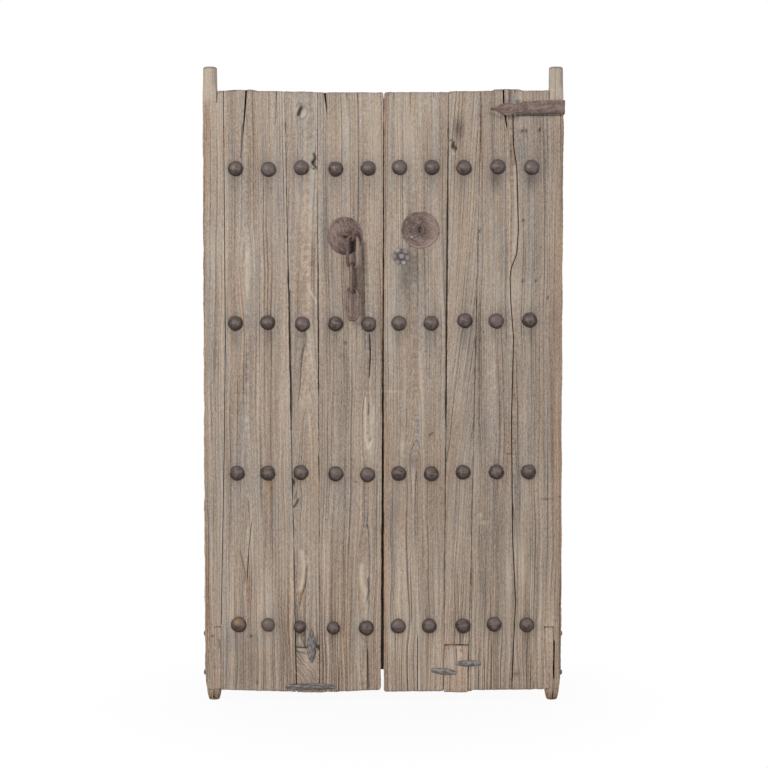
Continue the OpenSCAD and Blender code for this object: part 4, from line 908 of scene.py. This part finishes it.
# nail or stud head: a dome whose face is cut by flat hammer blows, on a round or squarish foot
def headSkin(atX, atZ, face, d, h, seed, square=2.0, blows=9, rough=0.5, look="front",
             tone=0.0, rust=0.0, worn=None):
    draw = np.random.default_rng(seed)
    rho = np.r_[1.0, np.linspace(0.985, 0.03, 20)][:, None]
    turn = np.linspace(0, 2 * np.pi, 44, endpoint=False)[None]
    lob = (np.abs(np.cos(turn)) ** square + np.abs(np.sin(turn)) ** square) ** (-1 / square)
    edge = 1 + 0.018 * np.sin(3 * turn + draw.uniform(0, 6)) + 0.014 * np.sin(5 * turn + draw.uniform(0, 6))
    u = d / 2 * rho * lob * edge * np.cos(turn)
    v = d / 2 * rho * lob * edge * np.sin(turn)
    high = h * np.sqrt(np.clip(1 - rho ** 2, 0, 1)) ** 1.15 * np.ones_like(turn)
    for _ in range(blows):
        lean, aim = draw.uniform(0.1, 0.6), draw.uniform(0, 2 * np.pi)
        slope = 2 * h / d * lean * 1.5
        level = h * draw.uniform(1.03, 1.14)
        high = np.minimum(high, level - slope * (u * np.cos(aim) + v * np.sin(aim)) + h * 0.42 * lean)
    high = high + rough * 0.2 * ripple(u / 9, v / 9, seed + 1) * (1 - rho) * 1.5
    high = np.maximum(high, 0.02)
    high[0] = -1.0  # the foot goes into the wood
    swirl = np.sin(7 * rho + 1.0 * np.sin(turn + seed) + seed)
    # painted light on every head: lighter towards the middle and the top and darker below, a painted highlight
    # streak across the dome, and a painted dark ring at the collar
    gleam = np.exp(-(((v / d - 0.06 - 0.06 * np.sin(4 * u / d + seed)) / 0.05) ** 2) - (u / d / 0.26) ** 2)
    collarShade = 0.12 * np.exp(-(((rho - 0.88) / 0.06) ** 2))
    fields = {"tone": tone + 0.3 * (0.35 - rho) + 0.6 * (v / d * 2) + 0.3 * swirl * (1 - 0.7 * rho) * rough
              + 0.9 * rough * gleam - collarShade,
              "rust": rust + 0.16 * np.clip(rho - 0.8, 0, 1) / 0.2 * np.ones_like(turn),
              "worn": 0.0 if worn is None else worn(u / d * 2, v / d * 2)}
    if look == "front":
        loops = np.stack([atX + u, face - high, atZ + v], -1)
    elif look == "back":
        loops = np.stack([atX + u, face + high, atZ + v], -1)
    else:  # driven in from the outer edge of a leaf; atX then carries the depth
        loops = np.stack([face + look * high, atX + u, atZ + v], -1)
    return skinOf(loops, fields)


# ochre that has stayed on one stud: a wide spot above its middle and a small one beside it
def ochre(u, v):
    return (0.75 * np.clip(0.9 - 1.1 * np.hypot(u + 0.1, v - 0.45), 0, 1)
            + 0.5 * np.clip(0.5 - np.hypot(u - 0.5, v + 0.1), 0, 1))


stud = dict(d=48.5, h=16.8, shank=4.0, tail=22.0, rowTone=(0.0, 0.0, 0.05, 0.2), blows=dict(left=5, right=7),
            odd={("left", 1): 0.87, ("left", 2): 0.84, ("left", 3): 0.92, ("left", 4): 1.04},
            paleOne=("left", 3), ochreOne=("left", 4))
for leaf, sign in (("left", -1), ("right", 1)):
    skins = []
    for n, (sx, sz) in enumerate(studPlaces[leaf]):
        draw = np.random.default_rng(300 + n + 50 * sign)
        tone = draw.uniform(-0.25, 0.25) + stud["rowTone"][n // 5]
        if leaf == "right" and n >= 10:
            tone = tone + 0.1
        if (leaf, n) == stud["paleOne"]:
            tone = 0.7
        worn = ochre if (leaf, n) == stud["ochreOne"] else None
        d = stud["d"] * draw.uniform(0.97, 1.0) * stud["odd"].get((leaf, n), 1.0)
        h = stud["h"] * draw.uniform(0.9, 1.0)
        skins.append(headSkin(sx, sz, door["face"], d, h, 400 + n + 50 * sign, 2.0, stud["blows"][leaf], 1.0,
                              tone=tone, worn=worn))
        # the tail comes through the batten and is clenched along it
        t = np.linspace(0, 1, 9)[:, None]
        clench = 47 + 5 * np.sin(np.pi / 2 * np.minimum(t * 3, 1))
        bar = np.hstack([sx + sign * stud["tail"] * t, clench, sz + 1.5 * t * draw.uniform(-1, 1)])
        size = stud["shank"] * np.r_[1, 1, np.linspace(1, 0.8, 8)][:, None]
        skins.append(tubeAlong(np.concatenate([[[sx, 30, sz]], bar]), size, 12, np.array([0.0, 0, 1]),
                               fields={"tone": -0.2, "rust": 0.15, "worn": 0.0}))
    makePiece(leaf + "Studs", skins, studIron, leaf + "_leaf", [leaf + "_studs"], 30)


# boss plate: a worn dome, flat and rim ridge turned about its middle, with waves beaten into it
def bossSkin(x, z, wide, tall, seed, waves, worn, soot, slope):
    profile = [(0.4, 10), (8, 9.6), (15, 8.0), (21, 5.8), (26, 4.0), (30, 3.2), (40, 3.0), (49, 3.1),
               (51.5, 4.2), (54, 4.5), (56, 3.4), (57, 1.4), (57, 0), (30, -0.5), (0.4, -0.5)]
    r, h = (np.array(q, float) for q in zip(*profile))
    rim, t = r.max(), np.linspace(0, len(r) - 1, 76)
    r, h = np.interp(t, np.arange(len(r)), r)[:, None], np.interp(t, np.arange(len(h)), h)[:, None]
    turn = np.linspace(0, 2 * np.pi, 96, endpoint=False)[None]
    size = r * (1 + 0.012 * np.sin(2 * turn + seed) + 0.01 * np.sin(5 * turn + 2 * seed))
    u, v = wide * size * np.cos(turn), tall * size * np.sin(turn)
    upper = np.sin(turn + 0.6)
    beaten = np.sin(r * 0.75 + 1.2 * np.sin(turn)) * np.clip((r - 12) / 20, 0, 1) * (0.4 - 0.4 * upper)
    high = h + np.clip(h, 0, 1) * (waves * beaten + 0.45 * ripple(u / 26, v / 26, seed))
    mottled = 0.2 * ripple(u / 40, v / 40, seed + 2) + 0.28 * ripple(u / 13, v / 13, seed + 6)
    rings = np.sin(r * 0.62 + 0.8 * np.sin(turn + seed)) * np.clip((r - 14) / 12, 0, 1) * (0.5 - 0.5 * upper)
    # where the dome meets the flat: a ring of painted shade in the crease
    foot = np.exp(-((r - 29) / 2.2) ** 2) * (0.5 + 0.5 * np.sin(2 * turn + seed))
    # painted light: the plate lighter to one side along slope, and painted shade in the hole at its middle
    tone = mottled + (slope[0] * u + slope[1] * v) / rim - 0.4 * np.clip(1 - r / 12, 0, 1)
    fields = {"tone": tone + 0.12 * rings - 0.3 * foot,
              "rust": 0.03 + 0.08 * ripple(u / 24, v / 24, seed + 3) + 0.08 * np.clip((r - 48) / 8, 0, 1),
              "worn": np.clip(worn(u / rim, v / rim), 0, 1), "soot": np.clip(soot(u, v), 0, 0.95)}
    return skinOf(np.stack([x + u, door["face"] - high, z + v], -1), fields)


# lighter patches of the two plates: painted highlights on their lit side and along a stretch of the rim
def leftWearAndSheen(u, v):
    rim = np.clip((np.hypot(u, v) - 0.86) / 0.1, 0, 1) * np.clip(u * 1.4 - 0.5, 0, 1)
    return 0.25 * spot(u, v, -0.7, 0.2, 0.3, 0.5) + 0.9 * rim


# the right plate: its right half, a small spot and its lower rim painted lighter, as highlights
def rightWearAndSheen(u, v):
    rim = np.clip((np.hypot(u, v) - 0.84) / 0.12, 0, 1) * np.clip(-v * 1.5 - 0.4, 0, 1)
    return 0.3 * smooth((u - 0.1) / 0.5) + 0.2 * spot(u, v, -0.4, 0.75, 0.4, 0.12) + 0.6 * rim


# darker patches of the left plate: painted shadow of the chain between its legs and to their right, a painted
# dark line under the hook bar and a darker lower rim, over a little soot all over
def leftShadeAndSoot(u, v):
    return (0.14 + 1.1 * spot(u, v, 23, -34, 8, 26) + 0.8 * spot(u, v, 6, -4, 16, 4)
            + 0.45 * spot(u, v, 0, -54, 40, 7) + 0.4 * spot(u, v, 40, -20, 10, 30))


# darker patches of the right plate: painted shade in the staple's hole, a dark spot beside it and a faint
# darker disc round them
def rightShadeAndSoot(u, v):
    return 0.95 * spot(u, v, 8, -1, 9, 11) + 0.5 * spot(u, v, -8, 0, 6, 8) + 0.2 * spot(u, v, -4, 6, 30, 30)


bossPlates = {
    "left": dict(x=-119, z=1474, wide=0.975, tall=1.03, seed=5, waves=0.5, worn=leftWearAndSheen, soot=leftShadeAndSoot,
                 slope=(-0.35, 0.1)),
    "right": dict(x=117, z=1492, wide=1.03, tall=1.02, seed=8, waves=0.4, worn=rightWearAndSheen, soot=rightShadeAndSoot,
                  slope=(0.3, -0.25))}
for leaf, boss in bossPlates.items():
    makePiece(leaf + "BossPlate", [bossSkin(**boss)], rustyIron, leaf + "_leaf", [leaf + "_boss_plate"],
              30)


# eye staple: a hammered ring on a shank, and two legs spread behind the board
def stapleSkins(x, z, turned, seed, rust):
    eyeY, eyeR, turn, a = -54.0, 14, np.linspace(0, 2 * np.pi, 48, endpoint=False), math.radians(turned)
    out = eyeR * np.cos(turn)
    ring = np.stack([x - out * math.sin(a), eyeY + out * math.cos(a), z + eyeR * np.sin(turn)], -1)
    size = (4.4 + 0.18 * ripple(np.cos(turn) * 2, np.sin(turn) * 2, seed))[:, None]
    iron = {"tone": -0.2, "rust": rust, "worn": 0.0, "soot": 0.15}
    shank = np.stack([np.full(16, x), np.linspace(eyeY + eyeR, 30, 16), np.full(16, z)], -1)
    legZ = np.linspace(-30, 30, 24)
    legs = np.stack([np.full(24, x), 27.4 + 0.5 * np.abs(legZ) / 30, z + legZ], -1)
    legSize = (3.4 - 1.0 * np.clip((np.abs(legZ) - 16) / 14, 0, 1))[:, None]
    return [tubeAlong(ring, size, 16, np.array([math.cos(a), math.sin(a), 0.0]), True, iron),
            tubeAlong(shank, 5.4, 16, np.array([1.0, 0, 0]), fields=iron),
            tubeAlong(legs, legSize, 12, np.array([1.0, 0, 0]), fields=iron)]


staples = {"left": dict(x=-95, z=1474, turned=12, seed=21, rust=0.2),
           "right": dict(x=117, z=1492, turned=40, seed=22, rust=0.05)}
hook = dict(size=[4.6, 4.8, 4.8, 4.6, 4.0, 2.4],  # the loose end of the left staple's bar
            path=[[-97, -39, 1471], [-106, -41, 1475], [-115, -41, 1478], [-122, -40, 1479], [-127, -38, 1478],
                  [-130, -35, 1476.0]])
for leaf, staple in staples.items():
    skins = stapleSkins(**staple)
    if leaf == "left":
        path, size = np.array(hook["path"]), np.array(hook["size"])[:, None]
        skins.append(tubeAlong(path, size, 14, np.array([0.0, 0, 1]),
                               fields={"tone": -0.1, "rust": 0.3, "worn": 0.0, "soot": 0.0}))
    makePiece(leaf + "Staple", skins, rustyIron, leaf + "_leaf", [leaf + "_staple"], 40)


# chain link: a bar bent to a long loop, thickened where its ends are welded, worn thin where links bear
def linkSkin(top, width, length, turned, seed, look):
    bend, leg = (width - hang["bar"]) / 2, length - width
    t = np.linspace(0, 1, 40, endpoint=False)
    arc = np.pi * t
    upper = np.stack([bend * np.cos(arc), -bend + bend * np.sin(arc)], -1)
    down = np.stack([np.full(40, -bend), -bend - leg * t], -1)
    lower = np.stack([-bend * np.cos(arc), -bend - leg - bend * np.sin(arc)], -1)
    up = np.stack([np.full(40, bend), -bend - leg + leg * t], -1)
    flat = np.concatenate([upper, down, lower, up])
    where = np.arange(len(flat))[:, None] / len(flat)
    onLeg = np.floor(where * 4) % 2
    turn = np.linspace(0, 2 * np.pi, 18, endpoint=False)[None]
    size = 5.75 + 0.2 * ripple(where * 14, turn * 0.5, seed)
    size = size + 0.6 * smooth(1.6 * np.abs(np.sin(2 * np.pi * (where + 0.125))) - 0.6) * onLeg
    size = size + look["weld"] * np.exp(-((where - look["weldAt"]) / 0.03) ** 2)
    a = math.radians(turned)
    path = np.stack([hang["x"] + flat[:, 0] * math.cos(a), hang["y"] + flat[:, 0] * math.sin(a),
                     top + flat[:, 1]], -1)
    height = flat[:, 1:] / length
    lean = flat[:, :1] / bend  # -1 on one leg, 1 on the other
    bear = np.abs(np.sin(4 * np.pi * where)) * (1 - onLeg)  # where links bear
    ridge = np.exp(-((turn - 1.5 * np.pi) / 0.4) ** 2) * (lean < 0) * smooth((1 - np.abs(2 * height + 1)) / 0.4)
    # the upper link's right leg painted lighter and pinker and its left leg darker, as lit and shaded; the
    # links darker where they bear, partly painted shade between them and partly dirt; the middle link darker
    # except a lighter streak along the front of one leg
    wornAndLit = look["worn"] * ripple(height * 6, turn * 0.5, seed + 3) + look.get("pink", 0.0) * np.clip(lean, 0, 1)
    shadeAndDirt = look.get("soot", 0.0) * (1 - ridge) + 0.45 * bear * (0.5 + 0.5 * np.sin(3 * turn + seed))
    fields = {"tone": look["tone"] + look.get("lean", 0.0) * lean
              + 0.25 * ripple(height * 3, turn * 0.3, seed + 1),
              "rust": look["rust"] + 0.12 * ripple(height * 5, turn * 0.4, seed + 2) + 0.15 * bear,
              "worn": np.clip(wornAndLit + look.get("ridge", 0.0) * ridge, 0, 0.85), "soot": np.clip(shadeAndDirt, 0, 0.8)}
    return tubeAlong(path, size, 18, np.array([-math.sin(a), math.cos(a), 0.0]), True, fields)


hang = dict(x=-95.0, y=-54.0, bar=12.0)  # the upright on which the links hang, and their bar
chain = {
    "upper": dict(top=1470.9, width=44.0, length=108.0, turned=0.0, seed=31, look=dict(
        tone=-0.2, lean=0.4, pink=0.55, rust=0.12, worn=0.15, weld=0.3, weldAt=0.9)),
    "middle": dict(top=1387.3, width=48.0, length=104.0, turned=77.0, seed=32, look=dict(
        tone=-0.35, ridge=0.45, soot=0.22, rust=0.04, worn=0.1, weld=0.3, weldAt=0.4)),
    "end": dict(top=1307.7, width=44.0, length=109.0, turned=0.0, seed=33, look=dict(
        tone=0.1, soot=0.04, rust=0.1, worn=0.3, weld=0.15, weldAt=0.9))}
for name, link in chain.items():
    makePiece(name + "Link", [linkSkin(**link)], rustyIron, "chain_" + name, [f"chain_{name}_link"],
              40)
print("chain ready")


# rosette: six uneven petals, each domed across and curled up at its tip, round a sunken eye
def rosetteSkin(x, z, radius):
    path = np.r_[np.linspace(0.01, 1, 30), np.linspace(0.97, 0.01, 8)][:, None]
    under = np.r_[np.zeros(30), np.ones(8)][:, None]
    turn = np.linspace(0, 2 * np.pi, 128, endpoint=False)[None]
    lobe = np.abs(np.cos(3 * turn + 0.3 + 0.4 * np.sin(turn + 1))) ** 0.6
    size = radius * path * (0.87 + 0.13 * lobe) * (1 + 0.04 * np.sin(turn + 2))
    petal = np.sin(np.pi * np.clip((path - 0.35) / 0.65, 0, 1))
    dome = 1.2 + 2.2 * lobe * petal + 1.8 * lobe * smooth((path - 0.72) / 0.28)
    dome = dome + 1.2 * np.exp(-((path - 0.42) / 0.07) ** 2)
    high = np.where(under > 0, 0.05, dome)
    u, v = size * np.cos(turn), size * np.sin(turn)
    wornAndLit = 0.18 + 0.7 * np.exp(-((turn - 2.3) / 0.4) ** 2) + 0.45 * np.exp(-((turn - 5.2) / 0.35) ** 2)
    curls = lobe ** 2 * wornAndLit * np.exp(-((path - 0.84) / 0.13) ** 2)  # painted highlights on the curled tips
    # painted shade: a dark ring in the crease round the eye and dark gaps between the petals, whose tone is
    # also lower than the petals'
    shadeAndDirt = 0.8 * np.exp(-((path - 0.46) / 0.08) ** 2) + 0.6 * (1 - lobe) * smooth((path - 0.5) / 0.2)
    fields = {"tone": 0.55 * lobe - 0.35, "rust": 0.22, "worn": (1 - under) * np.clip(1.1 * curls, 0, 0.9),
              "soot": (1 - under) * np.clip(shadeAndDirt, 0, 0.9)}
    return skinOf(np.stack([x + u, door["face"] - high, z + v], -1), fields)


rosette = dict(x=55.6, z=1409.5, radius=26.8)
rosetteNail = headSkin(58, 1409, door["face"] - 1.5, 20.0, 6.0, 61, 4.5, 5, 1.0, tone=0.1, rust=0.05)
makePiece("rosette.washer", [rosetteSkin(**rosette)], forgedIron, "right_leaf", ["rosette"], 30)
makePiece("rosetteNail", [rosetteNail], forgedIron, "right_leaf", ["rosette_nail"], 30)


# bright top of the nail in the right boss plate
def nailShine(u, v):
    return 0.5 * np.clip(1 - np.hypot(u + 0.2, v - 0.3), 0, 1)


# its place is told from the middle of the plate
bossNail = dict(out=34.3, turned=math.radians(221), d=12, h=5, seat=-26.8)
bossNailX = bossPlates["right"]["x"] + bossNail["out"] * math.cos(bossNail["turned"])
bossNailZ = bossPlates["right"]["z"] + bossNail["out"] * math.sin(bossNail["turned"])
bossNailSkin = headSkin(bossNailX, bossNailZ, bossNail["seat"], bossNail["d"], bossNail["h"], 62, 2.0, 4, 0.6,
                        tone=0.9, worn=nailShine)
makePiece("rightBossNail", [bossNailSkin], forgedIron, "right_leaf", ["right_boss_nail"], 30)


strap = dict(z=1876.0, tip=336.0, peak=48.0, spear=90.0, flare=14.0, spearW=39.0, neck=28.0, w=42.0, t=3.0,
             back=456.0, bendX=3.6, bendY=3.5, front=[(391.2, 1870), (446.4, 1874)], behind=(471, 1876),
             nail=26.8)


# strap: a flat bar with a spear end, carried along the front, round the outer edge and on to the back
def strapSkin(s):
    edge, bendX, bendY = door["edge"], s["bendX"], s["bendY"]
    mid = door["back"] + s["t"] / 2
    corner = mid - bendY
    front, arc = np.linspace(s["tip"] + 0.5, edge, 120), np.linspace(0, np.pi / 2, 7)[1:-1]
    path = np.concatenate([
        np.stack([front, np.full(120, -mid)], -1),
        np.stack([edge + bendX * np.sin(arc), -corner - bendY * np.cos(arc)], -1),
        np.stack([np.full(14, edge + bendX), np.linspace(-corner, corner, 14)], -1),
        np.stack([edge + bendX * np.cos(arc), corner + bendY * np.sin(arc)], -1),
        np.stack([np.linspace(edge, s["back"], 40), np.full(40, mid)], -1)])
    way = np.gradient(path, axis=0)
    way /= np.linalg.norm(way, axis=1, keepdims=True)
    out = np.stack([way[:, 1], -way[:, 0]], -1)
    run = np.r_[0, np.cumsum(np.linalg.norm(np.diff(path, axis=0), axis=1))][:, None]
    neck, full = s["neck"] / 2, s["w"] / 2
    half = table(run, [(0, 1.0), (8, 2.2), (16, 4.5), (22, 7.4), (30, 12.5), (38, 16.6),
                       (s["peak"], s["spearW"] / 2), (60, 19.0), (67, 17.0), (75, neck), (s["spear"], neck),
                       (s["spear"] + s["flare"], 19.6), (200, full), (1000, full)])
    # the spear hangs a little
    droop = table(run, [(0, -6.0), (62, -6.0), (100, -2.5), (150, -1.0), (230, 1.0), (300, 0.0)])
    side = np.r_[np.linspace(-1, 1, 15), np.linspace(1, -1, 9)][None]
    outer = np.r_[np.full(15, 0.5), np.full(9, -0.5)][None]
    ragged = 0.5 * ripple(run / 30, np.sign(side) * 3.0, 71)
    zed = s["z"] + droop + side * (half + np.where(np.abs(side) > 0.9, ragged, 0))
    lift = s["t"] * outer * np.where(outer > 0, 1 - 0.30 * np.abs(side) ** 6, 1.0)
    lift = lift + np.where(outer > 0, 0.28 * ripple(run / 22, side * 1.4, 72), 0)
    p = path[:, None, :] + out[:, None, :] * lift[..., None]
    low = np.clip(-side, 0, 1) ** 4
    neckRust = np.exp(-((run - 66) / 18) ** 2) * np.clip(ripple(run / 14, side * 2, 75), 0, 1)
    # painted shade: the bar darker towards its lower edge; the spear tip darker as well
    fields = {"tone": 0.25 * ripple(run / 45, side, 73) - 0.5 * low, "worn": 0.0,
              "rust": 0.02 + 0.12 * ripple(run / 26, side, 74) + 0.22 * neckRust
              + 0.22 * np.exp(-((run - 36) / 9) ** 2),
              "soot": 0.7 * np.exp(-(run / 14) ** 2) + 0.5 * low * smooth((run - 70) / 40)}
    return skinOf(np.stack([p[..., 0], p[..., 1], zed], -1), fields)


makePiece("strap.iron", [strapSkin(strap)], rustyIron, "right_leaf", ["strap"], 30)
strapNails = [headSkin(x, z, -strap["nail"], 13, 2.6, 63 + n, 2.4, 5, 0.8, tone=-0.3, rust=0.2)
              for n, (x, z) in enumerate(strap["front"])]
strapNails.append(headSkin(*strap["behind"], strap["nail"], 15, 5, 66, 2.4, 5, 0.8, "back", tone=-0.3))
makePiece("strapNails", strapNails, rustyIron, "right_leaf", ["strap_nails"], 30)


# cramp: a lens-shaped bar whose points are cut off, low at its ends and high in its middle,
# faced by a few hammer planes
def crampSkin(c):
    length, width, (cutA, cutB) = c["length"], c["width"], c["cut"]
    u = np.linspace(0.6 - length / 2, length / 2 - 0.6, 60)[:, None]
    arc = np.linspace(-1, 1, 15)[None]
    along = (u + (cutA - cutB) / 2) / (length + cutA + cutB) * 2
    half = width / 2 * np.clip(1 - along ** 2, 0.03, 1) * (1 + 0.05 * ripple(u / 20, 0.3, c["seed"]))
    crest = 3 + 5 * (1 - (2 * u / length) ** 2)
    high = crest * np.clip(1 - np.abs(arc) ** 2.4, 0, 1) ** 0.55
    high = high + 0.6 * ripple(u / 16, arc * 1.2, c["seed"] + 1) * (1 - np.abs(arc) ** 2)
    v = np.hstack([half * arc, half, 0 * half, -half])
    high = np.hstack([high] + [np.full_like(half, -0.8)] * 3)
    a = math.radians(c["slope"])
    uu = np.broadcast_to(u, v.shape)
    x, z = uu * math.cos(a) - v * math.sin(a), uu * math.sin(a) + v * math.cos(a)
    tone = c.get("tone", 0.0) + 0.45 * ripple(uu / 22, v / 9, c["seed"] + 2)
    # painted light: the bar lighter on one side across its width than on the other
    fields = {"tone": tone + 0.35 * np.clip(v / width * 2, -1, 1),
              "rust": 0.04 + 0.10 * ripple(uu / 24, v / 12, c["seed"] + 3), "worn": 0.0}
    return skinOf(np.stack([c["x"] + x, door["face"] - high, c["z"] + z], -1), fields)


cramps = {
    "left_patch_cramp": dict(x=-226.9, z=175.0, length=109.0, width=30.0, cut=(9.0, 0.0), slope=90, seed=81),
    "left_sill_cramp": dict(x=-230.6, z=44.0, length=157.0, width=22.0, cut=(40.0, 40.0), slope=0, seed=82,
                            tone=-0.4),
    "right_upper_cramp": dict(x=271.0, z=118.8, length=80.0, width=20.0, cut=(20.0, 20.0), slope=0, seed=83),
    "right_lower_cramp": dict(x=193.0, z=93.1, length=80.0, width=20.0, cut=(20.0, 20.0), slope=-6, seed=84)}
for name, c in cramps.items():
    makePiece(name.replace("_", "") + ".iron", [crampSkin(c)], forgedIron, name.split("_")[0] + "_leaf", [name],
              30)
sideNail = dict(y=-10, out=565.6, d=18, h=5, places=(89, 213))
for leaf, sign in (("left", -1), ("right", 1)):
    heads = [headSkin(sideNail["y"], z, sign * sideNail["out"], sideNail["d"], sideNail["h"], 90 + n, 2.3, 4,
                      0.8, sign, tone=-0.3, rust=0.1) for n, z in enumerate(sideNail["places"])]
    makePiece(leaf + "SideNails", heads, forgedIron, leaf + "_leaf", [leaf + "_side_nails"], 30)
heads = [headSkin(strip["nailX"], z, strip["top"], 13, 5, 95 + n, 2.4, 4, 0.8, "back", tone=-0.3, rust=0.1)
         for n, z in enumerate(strip["nails"])]
makePiece("stripNails", heads, forgedIron, "right_leaf", ["strip_nails"], 30)
print("iron ready")


stageLook = dict(reach=14.0, floor=0.86, near=0.93, fade=(0.3, 1.1), sky=0.5, key=120.0, fill=37.0)
floorMesh = bpy.data.meshes.new("floor")
r = stageLook["reach"]
floorMesh.from_pydata([(-r, -r, 0), (r, -r, 0), (r, r, 0), (-r, r, 0)], [], [(0, 1, 2, 3)])
floor = bpy.data.objects.new("floor", floorMesh)
bpy.context.scene.collection.objects.link(floor)
pale = Finish("pale_floor")
matt = pale.node("ShaderNodeBsdfDiffuse", None, {"Color": (stageLook["floor"],) * 3 + (1,)})
glow = pale.node("ShaderNodeEmission", None, {"Color": (1, 1, 1, 1), "Strength": 1.0})
here = pale.node("ShaderNodeTexCoord", None, None, 3)
away = pale.step(pale.node("ShaderNodeVectorMath", {"operation": "LENGTH"}, [here], 1), *stageLook["fade"])
share = pale.inView() * (away * (1 - stageLook["near"]) + stageLook["near"])  # a shadow near the door
pale.node("ShaderNodeOutputMaterial", None,
          {"Surface": pale.node("ShaderNodeMixShader", None, [share, matt, glow])})
floorMesh.materials.append(pale.material)

world = bpy.data.worlds.new("studio")
bpy.context.scene.world = world
sky = Finish("studio", world)
strength = sky.inView() * (1 - stageLook["sky"]) + stageLook["sky"]
white = sky.node("ShaderNodeBackground", None, {"Color": (1, 1, 1, 1), "Strength": strength})
sky.node("ShaderNodeOutputWorld", None, {"Surface": white})


# round area lamp, turned about Z and X until it looks at a point
def softLamp(name, at, aim, size, power):
    lamp = bpy.data.lights.new(name, "AREA")
    lamp.shape, lamp.size, lamp.energy = "DISK", size, power
    holder = bpy.data.objects.new(name, lamp)
    bpy.context.scene.collection.objects.link(holder)
    way = np.array(aim) - np.array(at)
    holder.location = at
    flat = math.hypot(way[0], way[1])
    holder.rotation_euler = (math.atan2(flat, -way[2]), 0, math.atan2(way[1], way[0]) - math.pi / 2)


aim = (0, 0, 1.0)
softLamp("key", (-2.6, -4.4, 3.2), aim, 1.6, stageLook["key"])
softLamp("fill", (2.8, -4.2, 1.6), aim, 2.6, stageLook["fill"])

# the camera looks down a little, from the place of the photograph
view = dict(aimX=0.0032, aimY=-0.024, aimZ=1.0073, far=6.0, pitch=2.6, lens=89.2)
lens = bpy.data.cameras.new("camera")
lens.lens, lens.sensor_width, lens.clip_end = view["lens"], 36.0, 100.0
camera = bpy.data.objects.new("camera", lens)
bpy.context.scene.collection.objects.link(camera)
camera.location = (view["aimX"], view["aimY"] - view["far"],
                   view["aimZ"] + view["far"] * math.tan(math.radians(view["pitch"])))
camera.rotation_euler = (math.radians(90 - view["pitch"]), 0, 0)
bpy.context.scene.camera = camera
bpy.context.scene.view_settings.view_transform = "Standard"

bpy.context.view_layer.update()
